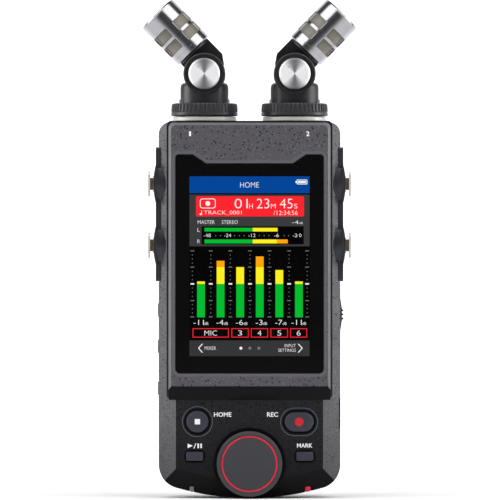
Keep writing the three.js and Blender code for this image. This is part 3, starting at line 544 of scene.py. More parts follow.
# Width of the black strip painted as the shadow round the face plate.
SHADOW_STRIP_WIDTH = 0.85


def glass_outline(growth):
    """The cover glass as (x, z) points: a plain foot and a dip in the middle of its head."""
    corner_low, corner_high = low("screen_glass"), high("screen_glass")
    half = corner_high.x
    foot, head = corner_low.z, corner_high.z
    foot_arc = arc(
        half - GLASS_FOOT_CORNER, foot + GLASS_FOOT_CORNER, GLASS_FOOT_CORNER + growth, -90, 0, 8)
    head_arc = arc(
        half - GLASS_HEAD_CORNER, head - GLASS_HEAD_CORNER, GLASS_HEAD_CORNER + growth, 0, 90, 6)
    dip = [
        (GLASS_SHOULDER - growth * 0.4, head + growth),
        (GLASS_DIP_HALF - growth * 0.4, head - GLASS_DIP + growth),
    ]
    return mirrored(foot_arc + head_arc + dip)


def bezel_outline(inset, foot):
    """The face plate as (x, z) points, square at the foot and rounded at the head."""
    corner = high("display_bezel")
    half = corner.x - inset
    head = corner.z - inset
    corner_arc = arc(half - BEZEL_CORNER, head - BEZEL_CORNER, BEZEL_CORNER, 0, 90, 8)
    return mirrored([(half, foot)] + corner_arc)


def build_bezel():
    """The face plate: sloping foot, chamfered rim and a chamfered lip around the glass."""
    front, back = low("display_bezel").y, high("display_bezel").y
    foot = low("display_bezel").z
    glass_front = low("screen_glass").y
    slope_rate = (BEZEL_SLOPE_TOP - foot) / (back - front)
    knee = front + BEZEL_EDGE
    outer = [
        (bezel_outline(0, foot), back),
        (bezel_outline(0, BEZEL_SLOPE_TOP - slope_rate * BEZEL_EDGE), knee),
        (bezel_outline(BEZEL_EDGE, BEZEL_SLOPE_TOP), front),
    ]
    inner = [
        (glass_outline(GLASS_LIP), front),
        (glass_outline(0.12), glass_front + 0.15),
        (glass_outline(0.12), back),
    ]
    bm = bmesh.new()
    # Painted highlight: the chamfer rows (index 2) get a lighter plastic.
    for stack, edge_row in ((outer, 1), (inner, 0)):
        loops = [loop(bm, outline, y) for outline, y in stack]
        for row, (here, there) in enumerate(zip(loops, loops[1:])):
            for face in skirt(bm, here, there):
                face.material_index = 2 if row == edge_row else 0
    for y in (front, back):
        edges = [
            edge for edge in bm.edges
            if edge.is_boundary and all(abs(vert.co.y - y * MM) < 1e-7 for vert in edge.verts)]
        bmesh.ops.triangle_fill(bm, edges=edges, use_beauty=True)
    bmesh.ops.recalc_face_normals(bm, faces=bm.faces)
    # Painted shade: the down-facing slope at the foot of the face plate gets glossy black (index 1).
    for face in bm.faces:
        if face.normal.z < -0.4 and face.calc_center_median().z < (BEZEL_SLOPE_TOP + 0.5) * MM:
            face.material_index = 1
    piece = add_piece("face_plate", bm, [looks["speckled_plastic"], gloss_black, edge_painted_highlight], bevel=0.1)
    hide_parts("display_bezel")
    # Painted shadow: a black strip round the face plate stands in for the shadow in the gap behind it.
    shadow_strip = frame_prism(
        bezel_outline(-SHADOW_STRIP_WIDTH, foot + 1), bezel_outline(0.1, foot + 1), back + 1.0, back + 4.2)
    add_piece("face_painted_shadow_strip", shadow_strip, satin_black, bevel=0.1)


def build_glass():
    front, back = low("screen_glass").y, high("screen_glass").y
    glass = prism(glass_outline(-0.05), front, back)
    piece = add_piece("cover_glass", glass, looks["screen_glass"], bevel=0.12)
    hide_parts("screen_glass")


# ---- the picture on the display ----

PICTURE_WIDTH = 49.5
PICTURE_HEIGHT = 74.1
HEADER_END = 6.9
MASTER_END = 28.8
CHANNELS_END = 67.6
PICTURE_TOP = 133.0
LAYER = 0.02
LETTER_THINNING = -0.012
LABEL_THICKENING = 0.02
SHADES = {
    "blue": (0, 69, 152),
    "panel": (58, 58, 60),
    "red": (255, 36, 46),
    "white": (245, 245, 245),
    "black": (1, 1, 2),
    "green": (0, 188, 47),
    "yellow": (254, 240, 30),
    "orange": (255, 166, 6),
    "tick": (120, 120, 122),
    "footer": (52, 52, 54),
}


class Picture:
    """Flat lit shapes just in front of the glass, gathered by colour."""

    def __init__(self):
        self.colours = {}
        self.surface = low("screen_glass").y

    def shape(self, name, points, layer=1):
        """Adds a flat face; layers with a higher number stand nearer to the eye."""
        bm = self.colours.setdefault(name, bmesh.new())
        outline = [(x - PICTURE_WIDTH / 2, PICTURE_TOP - down) for x, down in points]
        bm.faces.new(loop(bm, outline, self.surface - LAYER * (layer + 1)))

    def bar(self, name, x0, x1, top, bottom, layer=1):
        self.shape(name, [(x0, bottom), (x1, bottom), (x1, top), (x0, top)], layer)

    def pill(self, name, x0, x1, top, bottom, radius, layer=1):
        points = rounded((x0 + x1) / 2, -(top + bottom) / 2, x1 - x0, bottom - top, radius, 4)
        self.shape(name, [(x, -z) for x, z in points], layer)

    def outline(self, name, x0, x1, top, bottom, line, layer=1):
        self.bar(name, x0, x1, top, top + line, layer)
        self.bar(name, x0, x1, bottom - line, bottom, layer)
        self.bar(name, x0, x0 + line, top + line, bottom - line, layer)
        self.bar(name, x1 - line, x1, top + line, bottom - line, layer)

    def words(self, text, x0, x1, top, bottom):
        for triangle in lettering(text, x0, x1, top, bottom, LETTER_THINNING):
            self.shape("white", triangle, 3)

    def finish(self):
        for name, bm in self.colours.items():
            add_piece("picture_" + name, bm, lit("lit_" + name, *SHADES[name]))


def lettering(text, x0, x1, top, bottom, bold):
    """The triangles of a line of text, as (x, down) points filling the given box."""
    curve = bpy.data.curves.new("words", "FONT")
    curve.body = text
    curve.resolution_u = 3
    curve.offset = bold
    holder = linked("words", curve)
    bpy.context.view_layer.update()
    mesh = bpy.data.meshes.new_from_object(holder.evaluated_get(bpy.context.evaluated_depsgraph_get()))
    mesh.calc_loop_triangles()
    xs = [v.co.x for v in mesh.vertices]
    ys = [v.co.y for v in mesh.vertices]
    left, right, base, head = min(xs), max(xs), min(ys), max(ys)
    triangles = []
    for face in mesh.loop_triangles:
        corners = [mesh.vertices[i].co for i in face.vertices]
        triangles.append([(
            x0 + (x1 - x0) * (c.x - left) / (right - left),
            bottom - (bottom - top) * (c.y - base) / (head - base)) for c in corners])
    bpy.data.objects.remove(holder)
    bpy.data.meshes.remove(mesh)
    return triangles


def draw_header(picture):
    picture.bar("blue", 0, PICTURE_WIDTH, 0, HEADER_END)
    picture.words("HOME", 20.9, 28.6, 2.4, 4.6)
    picture.pill("white", 44.2, 48.6, 1.3, 3.3, 0.4, 3)
    picture.pill("blue", 44.5, 48.3, 1.6, 3.0, 0.3, 4)
    picture.bar("white", 44.75, 48.05, 1.85, 2.75, 5)
    picture.bar("white", 43.7, 44.2, 1.9, 2.7, 3)
    picture.bar("panel", 0, PICTURE_WIDTH, 7.5, MASTER_END)


def draw_counter(picture):
    picture.pill("red", 2.7, 47.2, 8.2, 16.5, 0.6, 2)
    picture.pill("white", 4.3, 10.8, 9.1, 13.2, 1.1, 3)
    picture.pill("red", 4.6, 10.5, 9.4, 12.9, 0.85, 4)
    picture.pill("white", 6.55, 8.55, 10.15, 12.15, 0.99, 5)
    for digits, x0, x1 in (("01", 18.6, 24.0), ("23", 27.7, 32.9), ("45", 37.2, 42.5)):
        picture.words(digits, x0, x1, 9.2, 13.2)
    for letter, x0, x1 in (("H", 24.6, 26.1), ("M", 33.6, 35.5), ("S", 43.1, 44.5)):
        picture.words(letter, x0, x1, 11.3, 13.2)
    picture.words("TRACK_0001", 6.0, 21.5, 14.1, 15.9)
    picture.bar("white", 4.9, 5.15, 14.1, 15.7, 3)
    picture.pill("white", 4.2, 5.15, 15.2, 15.9, 0.3, 3)
    picture.words("/12:34:56", 34.7, 44.6, 14.1, 15.9)


def draw_master(picture):
    for text, x0, x1 in (("MASTER", 3.4, 10.4), ("STEREO", 13.3, 19.9), ("-4", 42.3, 44.9)):
        picture.words(text, x0, x1, 18.1, 19.6)
    picture.words("dB", 45.1, 46.7, 18.8, 19.6)
    picture.bar("black", 5.0, 47.1, 20.6, 28.0, 2)
    for letter, top in (("L", 21.3), ("R", 26.0)):
        picture.words(letter, 3.3, 4.3, top, top + 1.5)
    meters = ((21.2, 22.7, ((6.2, 26.1, "green"), (26.1, 36.3, "yellow"))),
              (26.0, 27.6, ((6.2, 26.1, "green"), (26.1, 36.0, "yellow"), (36.0, 40.5, "orange"))))
    for top, bottom, runs in meters:
        for x0, x1, shade in runs:
            picture.bar(shade, x0, x1, top, bottom, 3)
    scale = (("-48", 5.9), ("-24", 14.3), ("-12", 24.3), ("-6", 34.9), ("-2", 42.6), ("0", 45.2))
    for text, x in scale:
        picture.words(text, x, x + 0.95 * len(text), 23.6, 25.0)
    for x in (10.6, 12.6, 18.4, 20.4, 22.4, 28.6, 30.6, 32.6, 38.8, 40.7):
        picture.bar("tick", x, x + 0.35, 24.2, 24.6, 3)


BAR_LEFT = 3.15
BAR_PITCH = 8.07
BAR_WIDTH = 3.2
BAR_FOOT = 58.1
YELLOW_FROM = 44.3
ORANGE_FROM = 37.4
CHANNELS = ((43.3, "-11"), (34.8, "-4"), (37.4, "-6"), (33.0, "-3"), (38.6, "-7"), (43.3, "-11"))
TICK_ROWS = (30.7, 37.4, 44.3, 51.2, 57.9)


def draw_channels(picture):
    picture.bar("black", 0, PICTURE_WIDTH, MASTER_END, CHANNELS_END, 0)
    for k, (top, text) in enumerate(CHANNELS):
        x = BAR_LEFT + k * BAR_PITCH
        picture.bar("green", x, x + BAR_WIDTH, YELLOW_FROM, BAR_FOOT, 2)
        yellow_top = max(top, ORANGE_FROM)
        picture.bar("yellow", x, x + BAR_WIDTH, yellow_top, YELLOW_FROM, 2)
        if top < ORANGE_FROM:
            picture.bar("orange", x, x + BAR_WIDTH, top, ORANGE_FROM, 2)
        picture.words(text, x + 2.75 - 1.4 * len(text), x + 2.75, 59.1, 61.2)
        picture.words("dB", x + 2.95, x + 4.6, 60.1, 61.2)
    for k in range(len(CHANNELS) + 1):
        x = BAR_LEFT + BAR_WIDTH / 2 + (k - 0.5) * BAR_PITCH
        x = min(max(x, 1.2), 48.5)
        for row, down in enumerate(TICK_ROWS):
            shade = "white" if row == 2 else "tick"
            thick = 0.3 if row == 2 else 0.16
            picture.bar(shade, x - 0.75, x + 0.75, down - thick, down + thick, 2)
        for row in range(4):
            for step in (1, 2, 3):
                down = TICK_ROWS[row] + (TICK_ROWS[row + 1] - TICK_ROWS[row]) * step / 4
                picture.bar("tick", x - 0.18, x + 0.18, down - 0.15, down + 0.15, 2)


def draw_inputs(picture):
    boxes = (("MIC", 1.3, 16.2, 5.2), ("3", 17.3, 24.4, 1.6), ("4", 25.3, 32.4, 1.6),
             ("5", 33.4, 40.6, 1.6), ("6", 41.5, 48.5, 1.6))
    for text, x0, x1, width in boxes:
        picture.outline("red", x0, x1, 62.6, 66.4, 0.32, 2)
        centre = (x0 + x1) / 2
        picture.words(text, centre - width / 2, centre + width / 2, 63.5, 65.6)


def draw_footer(picture):
    picture.bar("footer", 0, PICTURE_WIDTH, CHANNELS_END, PICTURE_HEIGHT)
    for x, way in ((3.5, 1), (46.7, -1)):
        tip, tail = x, x + way * 1.6
        for low_side in (-1, 1):
            picture.shape("white", [
                (tip, 70.8), (tip + way * 0.5, 70.8), (tail + way * 0.5, 70.8 + low_side * 1.8),
                (tail, 70.8 + low_side * 1.8)], 3)
    picture.words("MIXER", 6.25, 10.9, 70.1, 71.5)
    for k, shade in enumerate(("white", "tick", "tick")):
        x = 21.2 + 3.7 * k
        picture.pill(shade, x - 0.6, x + 0.6, 70.2, 71.4, 0.55, 3)
    picture.words("INPUT", 39.2, 43.8, 69.1, 70.4)
    picture.words("SETTINGS", 36.6, 43.8, 71.0, 72.3)


def build_picture():
    picture = Picture()
    for draw in (draw_header, draw_counter, draw_master, draw_channels, draw_inputs, draw_footer):
        draw(picture)
    picture.finish()


# ---- marks printed on the case ----

INK = 0.03
KEY_NAME = (33.8, 35.7)
MARK_NAME = (21.1, 22.8)
CHANNEL_NAME = (149.6, 151.6)
SIGN_FOOT = 20.85
SIGN_HEAD = 22.75


def print_words(name, text, x0, x1, heights, surface):
    """White words on a face, filling a box from x0 to x1 and between two heights."""
    foot, head = heights
    bm = bmesh.new()
    for triangle in lettering(text, x0, x1, -head, -foot, LABEL_THICKENING):
        bm.faces.new(loop(bm, [(x, -down) for x, down in triangle], surface - INK))
    add_piece(name, bm, label_white)


def build_labels():
    control = low("front_shell").y
    plate = low("display_bezel").y
    home, rec = middle("home_key"), middle("rec_key")
    play, mark = middle("play_key"), middle("mark_key")
    print_words("label_home", "HOME", home.x + 6.8, home.x + 14.0, KEY_NAME, control)
    print_words("label_rec", "REC", rec.x - 13.3, rec.x - 8.7, KEY_NAME, control)
    print_words("label_mark", "MARK", mark.x - 3.2, mark.x + 3.2, MARK_NAME, control)
    print_words("label_left", "1", -24.9, -24.1, CHANNEL_NAME, plate)
    print_words("label_right", "2", 23.4, 24.7, CHANNEL_NAME, plate)
    arrow = [(-2.95, SIGN_FOOT), (-0.75, (SIGN_FOOT + SIGN_HEAD) / 2), (-2.95, SIGN_HEAD)]
    low_end, high_end = SIGN_FOOT - 0.1, SIGN_HEAD + 0.1
    stroke = [(-0.55, low_end), (-0.2, low_end), (0.65, high_end), (0.3, high_end)]
    bars = [
        [(x, SIGN_FOOT), (x + 0.65, SIGN_FOOT), (x + 0.65, SIGN_HEAD), (x, SIGN_HEAD)]
        for x in (1.1, 2.3)]
    symbols = bmesh.new()
    for points in [arrow, stroke] + bars:
        symbols.faces.new(loop(symbols, [(play.x + x, z) for x, z in points], control - INK))
    add_piece("label_play", symbols, label_white)


# ---- controls ----

KEYS = (
    ("home_key", 9.2, 9.2, 4.55, 0.9),
    ("rec_key", 12.1, 8.2, 4.05, 0.9),
    ("play_key", 7.0, 3.7, 0.8, 0.3),
    ("mark_key", 7.1, 3.7, 0.8, 0.3),
)
STOP_HALF = 1.1
REC_DOT = 3.6


def build_keys():
    control = low("front_shell").y
    for name, width, height, radius, edge in KEYS:
        centre = middle(name)

        def around(gap, growth):
            return rounded(centre.x, centre.z, width + gap, height + gap, radius + growth)

        cap = prism(around(0, 0), low(name).y, high(name).y)
        body = name + "_body"
        piece = add_piece(name + "_cap", cap, looks["key_top"], body, bevel=edge, segments=4)
        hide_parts(name)
        rim = frame_prism(around(1.7, 0.85), around(0.45, 0.22), control + 0.08, control + 0.55)
        add_piece(name + "_surround", rim, gloss_black, bevel=0.12)
        if name in ("home_key", "rec_key"):
            line = frame_prism(around(3.5, 1.75), around(2.9, 1.45), control - 0.08, control + 0.3)
            add_piece(name + "_rim", line, rim_grey, bevel=0.1)
    home, rec = middle("home_key"), middle("rec_key")
    face = low("home_key").y - 0.02
    stop = block(
        home.x - STOP_HALF, home.x + STOP_HALF, face, face + 0.1, home.z - STOP_HALF, home.z + STOP_HALF)
    add_piece("stop_symbol", stop, label_white, "home_key_body")
    dot = prism(disc(rec.x, rec.z, REC_DOT), face, face + 0.1)
    add_piece("rec_symbol", dot, label_red, "rec_key_body")


DIAL_RADIUS = 13.6
RING_INSIDE = 10.95
RING_OUTSIDE = 11.55
WELL_RADIUS = 15.05
NOSE_WALL_CUT = 6.0
NOSE_FLOOR_CUT = 9.6


def build_dial():
    centre = middle("dial")
    depth = high("dial").y - low("dial").y
    matrix = along(centre.x, low("dial").y, centre.z, (0, 1, 0))
    profile = [
        [0, 0.55], [6.0, 0.5], [9.2, 0.32], [RING_INSIDE - 0.5, 0.05], [RING_INSIDE - 0.08, 0.0],
        [RING_INSIDE - 0.08, 1.0], [RING_OUTSIDE + 0.08, 1.0], [RING_OUTSIDE + 0.08, 0.0],
        [DIAL_RADIUS - 0.9, 0.0], [DIAL_RADIUS - 0.25, 0.3], [DIAL_RADIUS, 1.0],
        [DIAL_RADIUS, depth - 0.4], [DIAL_RADIUS - 0.4, depth], [0, depth],
    ]

    def knurl(row, step):
        return 0.12 * (step % 2) if row in (10, 11) else 0

    knob = turned(profile, 2 * ROUND, groove=knurl)
    piece = add_piece("dial_knob_face", knob, looks["dial_metal"], "dial_knob", matrix, bevel=0.06)
    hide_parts("dial")
    ring = band(RING_INSIDE, RING_OUTSIDE, 0.08, 0.9, 2 * ROUND)
    piece = add_piece("dial_light_ring", ring, looks["red_plastic"], "dial_knob", matrix, bevel=0.08)
    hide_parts("dial_ring")
    well_floor = along(centre.x, high("dial").y + 0.55, centre.z, (0, 1, 0))
    lining = carved(band(3.4, WELL_RADIUS, 0, 0.06), block(-20, 20, NOSE_FLOOR_CUT, 20, -5, 5))
    add_piece("dial_well_lining", lining, gloss_black, "case", well_floor)
    well_mouth = along(centre.x, low("front_shell").y + 0.05, centre.z, (0, 1, 0))
    wall = band(WELL_RADIUS - 0.3, WELL_RADIUS + 0.01, 0, 3.2, 2 * ROUND)
    wall = carved(wall, block(-20, 20, NOSE_WALL_CUT, 20, -5, 5))
    add_piece("dial_well_wall", wall, gloss_black, "case", well_mouth)


# ---- flanks ----

FLANK_FRONT = -7.0
FLANK_BACK = 12.2
FLANK_THICKNESS = 2.8
BOSS_OUTSIDE = 24.4
BOSS_INSIDE = 22.4
BOSS_DEPTH = 2.4
BOSS_STEPS = 24
BRIDGE_RISE = 1.0
BRIDGE_HALF = 7.8
BRIDGE_DEPTHS = (-8.8, -4.8)
INSERT_RADIUS = 11.0
INSERT_DEPTH = 24
PLUG_RADIUS = 3.5
PIN_CIRCLE = 5.65
PIN_ANGLES = (90, 210, 330)
TAB_PLATE = (4.0, 10.4)
TAB_STEM = (2.4, 5.0)
SOCKET_LENGTH = 11.95
SOCKET_BORE = 1.78


def sideways(bm, sign):
    """Lays a piece on a flank that was drawn with +Y as outward and X as the case's Y."""
    return moved(bm, Matrix(((0, sign, 0, 0), (1, 0, 0, 0), (0, 0, 1, 0), (0, 0, 0, 1))))


def arched(z, inner, foot, rise, half_height, y0, y1):
    """A bridge with an arc for its outer face, drawn the way the flank's pieces are."""
    radius = (half_height ** 2 + rise ** 2) / (2 * rise)
    sweep = math.degrees(math.asin(half_height / radius))
    crown = arc(foot + rise - radius, z, radius, -sweep, sweep, 24)
    outline = [(inner, z - half_height)] + crown + [(inner, z + half_height)]
    return sideways(prism(outline, y0, y1), 1)


def build_flank(name, sign):
    panel = name + "_flank_panel"
    corner_low, corner_high = low(panel), high(panel)
    outer = max(abs(corner_low.x), abs(corner_high.x)) - BRIDGE_RISE
    inner = outer - FLANK_THICKNESS
    foot, head = corner_low.z, corner_high.z

    def outward(bm):
        return sideways(bm, sign)

    sheet = rounded(
        (FLANK_FRONT + FLANK_BACK) / 2, (foot + head) / 2, FLANK_BACK - FLANK_FRONT, head - foot, 1.0)
    plate = prism(sheet, inner, outer)
    places = [middle("%s_%s_jack" % (name, level)) for level in LEVELS]
    bosses, cutters, bridges = [], [], []
    for place in places:
        outside = disc(place.y, place.z, BOSS_OUTSIDE, BOSS_STEPS)
        inside = disc(place.y, place.z, BOSS_INSIDE, BOSS_STEPS)
        bosses.append(frame_prism(outside, inside, inner - BOSS_DEPTH, outer))
        seat = disc(place.y, place.z, (BOSS_OUTSIDE + BOSS_INSIDE) / 2 + 0.2, BOSS_STEPS)
        cutters.append(prism(seat, inner - 1, outer + 1))
        bridges.append(arched(place.z, outer - 0.5, outer, BRIDGE_RISE, BRIDGE_HALF, *BRIDGE_DEPTHS))
    plate = carved(plate, *cutters)
    trim = outward(joined(plate, *bosses, *bridges))
    piece = add_piece(name + "_side_trim", trim, flank_plastic, bevel=0.25, angle=25)
    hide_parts(panel)
    for level, place in zip(LEVELS, places):
        build_jack("%s_%s_jack" % (name, level), sign, place, outer - 0.3)
        build_tab("%s_%s_release_tab" % (name, level), outward)


def build_jack(node, sign, place, face):
    """A combination jack: a groove for a plug's shell, and three pin holes round a plug hole."""
    profile = [
        [0, -INSERT_DEPTH], [INSERT_RADIUS, -INSERT_DEPTH], [INSERT_RADIUS, -0.4],
        [INSERT_RADIUS - 0.4, 0], [9.9, 0], [9.5, -0.4], [9.5, -14], [7.7, -14], [7.7, -1.6], [7.3, -1.2],
        [PLUG_RADIUS + 0.7, -1.2], [PLUG_RADIUS, -1.9], [PLUG_RADIUS, -20], [0, -20],
    ]
    pins = [at(x, y, 0) for x, y in (arc(0, 0, PIN_CIRCLE, angle, angle, 1)[0] for angle in PIN_ANGLES)]
    holes = [moved(turned([[0, -9], [1.35, -9], [1.35, 2], [0, 2]], 24), pin) for pin in pins]
    body = carved(turned(profile), *holes)
    matrix = along(sign * face, place.y, place.z, (sign, 0, 0))
    piece = add_piece(node + "_insert", body, looks["black_plastic"], "case", matrix, bevel=0.15)
    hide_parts(node)
    sleeve = band(PLUG_RADIUS - 0.38, PLUG_RADIUS - 0.04, -6, -2.2, 48)
    add_piece(node + "_plug_sleeve", sleeve, looks["steel"], "case", matrix)
    for index, pin in enumerate(pins):
        contact = moved(band(0.8, 1.28, -6, -1.9, 24), pin)
        add_piece("%s_contact_%d" % (node, index + 1), contact, looks["brass"], "case", matrix)


def build_tab(node, outward):
    """A release tab: a bright push plate on a dull stem, in a lip fixed to the case."""
    corner_low, corner_high = low(node), high(node)
    centre = middle(node)
    tip = max(abs(corner_low.x), abs(corner_high.x))
    root = min(abs(corner_low.x), abs(corner_high.x))
    body = node + "_body"
    plate = prism(rounded(centre.y, centre.z, *TAB_PLATE, 1.95), tip - 1.1, tip)
    piece = add_piece(node + "_push", outward(plate), tab_metal, body, bevel=0.22, segments=3)
    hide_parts(node)
    stem = prism(rounded(centre.y, centre.z, *TAB_STEM, 0.4), root, tip - 1.05)
    add_piece(node + "_stem", outward(stem), stem_metal, body, bevel=0.12)
    lip_outside = rounded(centre.y, centre.z, 3.6, 6.6, 0.8)
    lip_inside = rounded(centre.y, centre.z, 2.7, 5.3, 0.5)
    flange = frame_prism(lip_outside, lip_inside, tip - 2.7, tip - 2.35)
    add_piece(node + "_latch_lip", outward(flange), looks["brass"], "case", bevel=0.05)


def build_small_jacks():
    for node in ("line_out_jack", "ext_in_jack", "phones_jack"):
        centre = middle(node)
        profile = [
            [0, 0], [2.45, 0], [2.45, 10.8], [2.9, 10.8], [2.9, SOCKET_LENGTH - 0.3],
            [2.6, SOCKET_LENGTH], [2.05, SOCKET_LENGTH], [SOCKET_BORE, SOCKET_LENGTH - 0.25],
            [SOCKET_BORE, 1.5], [0, 1.5],
        ]
        matrix = along(low(node).x + SOCKET_LENGTH, centre.y, centre.z, (-1, 0, 0))
        piece = add_piece(node + "_socket", turned(profile, 64), satin_black, "case", matrix, bevel=0.08)
        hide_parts(node)
        ring = band(SOCKET_BORE - 0.28, SOCKET_BORE - 0.02, 10.2, 11.5, 48)
        add_piece(node + "_sleeve", ring, looks["steel"], "case", matrix)


# ---- back ----

THREAD_ROOT = 2.6
THREAD_CREST = 3.18
THREAD_DEPTH = 7.5


def build_back():
    """The tripod bushing with its thread, and four cross-head screws."""
    centre = middle("tripod_bushing")
    depth = high("tripod_bushing").y - low("tripod_bushing").y
    thread = [[THREAD_CREST if k % 2 else THREAD_ROOT, depth - 0.6 - 0.5 * k] for k in range(14)]
    profile = [[0, 0], [5.5, 0], [5.5, depth - 0.4], [5.1, depth], [3.5, depth]] + thread
    profile += [[THREAD_ROOT, depth - THREAD_DEPTH], [0, depth - THREAD_DEPTH]]
    matrix = along(centre.x, low("tripod_bushing").y, centre.z, (0, 1, 0))
    piece = add_piece("tripod_insert", turned(profile, 64), looks["brass"], "case", matrix)
    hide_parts("tripod_bushing")
    for index in range(4):
        node = "case_screw_%d" % (index + 1)
        place = middle(node)
        length = high(node).y - low(node).y
        body = turned([[0, 0], [1.2, 0], [1.2, length - 1.15], [2.75, length - 1.15],
                       [2.75, length - 0.35], [2.4, length], [0, length]], 48)
        slots = [
            moved(block(-1.5, 1.5, -0.3, 0.3, length - 0.7, length + 1), Matrix.Rotation(turn, 4, "Z"))
            for turn in (0, math.pi / 2)]
        matrix = along(place.x, low(node).y, place.z, (0, 1, 0))
        head = carved(body, *slots)
        piece = add_piece(node + "_head", head, looks["steel"], "case", matrix, bevel=0.06)
        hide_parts(node)


# ---- microphones ----

LEAN = 3.6
TILT = math.radians(44.5)
RIBS = 48
FLANGE = 13.2
RING = 13.85
RING_BORE = 10.85
HOLDER = 10.5
SLOT_HALF = 3.3
BLADE_HALF = 3.0
NECK = 7.6
BARREL = 8.75
BARREL_WALL = 0.8
BARREL_STEPS = 15
CORNER_STEPS = 5
BARREL_FOOT = 10.0
BARREL_HEAD = 31.8
WINDOW_FEET = (14.4, 20.2)
WINDOW_HEIGHT = 4.55
WINDOW_HALF_TURN = 33
WINDOW_CORNER = 0.7
SCREEN = 7.7


def build_mic_base(name):
    mount = middle(name + "_mic_mount")
    stand = at(mount.x, mount.y, 0)
    bottom = low(name + "_mic_mount").z
    flange_low = low(name + "_lock_ring").z - 2.3
    flange_high = flange_low + 2.0
    top = high(name + "_mic_mount").z
    profile = [
        [5.0, bottom], [7.0, bottom], [7.0, flange_low], [FLANGE - 0.35, flange_low],
        [FLANGE, flange_low + 0.35], [FLANGE, flange_high - 0.35], [FLANGE - 0.35, flange_high],
        [8.4, flange_high], [8.4, top], [5.0, top],
    ]
    spigot = turned(profile, closed=True)
    piece = add_piece(name + "_mic_socket", spigot, looks["silver_metal"], "case", stand, bevel=0.08)
    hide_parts(name + "_mic_mount")
    ring_low, ring_high = low(name + "_lock_ring").z, high(name + "_lock_ring").z
    groove = ring_low + 1.6
    profile = [
        [RING_BORE, ring_low], [RING - 0.3, ring_low], [RING, ring_low + 0.3], [RING, groove - 0.1],
        [RING - 0.35, groove], [RING - 0.35, groove + 0.05], [RING, groove + 0.3],
        [RING - 0.18, ring_high - 0.6], [RING - 0.6, ring_high - 0.15], [RING - 1.0, ring_high],
        [RING_BORE + 0.3, ring_high], [RING_BORE, ring_high - 0.3],
    ]

    def rib(row, step):
        return 0.5 * (step % 4 in (0, 1)) if row in (6, 7) else 0

    ring = turned(profile, 4 * RIBS, True, rib)
    piece = add_piece(name + "_clamp_ring", ring, ring_black, name + "_ring", stand, bevel=0.05)
    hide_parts(name + "_lock_ring")


def build_mic_holder(name):
    node = name + "_mic_holder"
    place = middle(node)
    pivot = pivot_of(name + "_mic_tilt")
    bottom = low(node).z
    slot_floor = pivot.z - 10.5
    shoulder = pivot.z - 3.6
    slot_angle = math.degrees(math.asin(SLOT_HALF / HOLDER))
    post = turned([[0, bottom], [HOLDER, bottom], [HOLDER, slot_floor], [0, slot_floor]])
    post = moved(post, at(place.x, place.y, 0))
    parts = [post]
    for way in (-1, 1):
        outline = arc(0, 0, HOLDER, slot_angle, 180 - slot_angle, 24)
        cheek = bmesh.new()
        levels = [
            (slot_floor - 0.2, 0.0), (shoulder - 2.0, 0.0), (shoulder - 1.2, 0.16),
            (shoulder - 0.6, 0.5), (shoulder - 0.15, 1.2), (shoulder, 2.0)]
        rings = []
        for z, inset in levels:
            scale = (HOLDER - inset) / HOLDER
            rings.append([cheek.verts.new((
                (place.x + px * scale) * MM,
                (place.y + way * max(py * scale, SLOT_HALF)) * MM, z * MM)) for px, py in outline])
        for here, there in zip(rings, rings[1:]):
            skirt(cheek, here, there)
        cheek.faces.new(rings[0])
        cheek.faces.new(rings[-1])
        parts.append(cheek)
        ear = turned([
            [0, SLOT_HALF], [8.7, SLOT_HALF], [8.7, 10.1], [8.3, 10.5], [7.95, 10.5], [7.9, 10.35],
            [0, 10.35]])
        parts.append(moved(ear, along(pivot.x, place.y, pivot.z, (0, way, 0))))
    piece = add_piece(name + "_mic_fork", joined(*parts), holder_black, "case", bevel=0.12)
    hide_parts(node)
    cap = turned([
        [0, 10.6], [2.2, 10.6], [6.5, 10.6], [6.5, 11.0], [5.9, 11.6], [5.2, 11.62], [0, 11.55]])
    front_side = along(pivot.x, place.y, pivot.z, (0, -1, 0))
    piece = add_piece(name + "_pivot_cap", cap, cap_metal, "case", front_side, bevel=0.05)
    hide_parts(name + "_pivot_bolt")
    nut = turned([
        [0, 10.2], [3.4, 10.2], [3.4, 10.8], [3.0, 11.1], [1.6, 11.1], [1.6, 10.7], [0, 10.7]], 6)
    rear_side = along(pivot.x, place.y, pivot.z, (0, 1, 0))
    add_piece(name + "_pivot_nut", nut, looks["steel"], "case", rear_side, bevel=0.08)


def window_inset(height):
    """How far a window's side moves in at a height above its foot, to round its corners off."""
    near_end = min(height, WINDOW_HEIGHT - height)
    if near_end >= WINDOW_CORNER:
        return 0.0
    return WINDOW_CORNER - math.sqrt(WINDOW_CORNER ** 2 - (WINDOW_CORNER - near_end) ** 2)


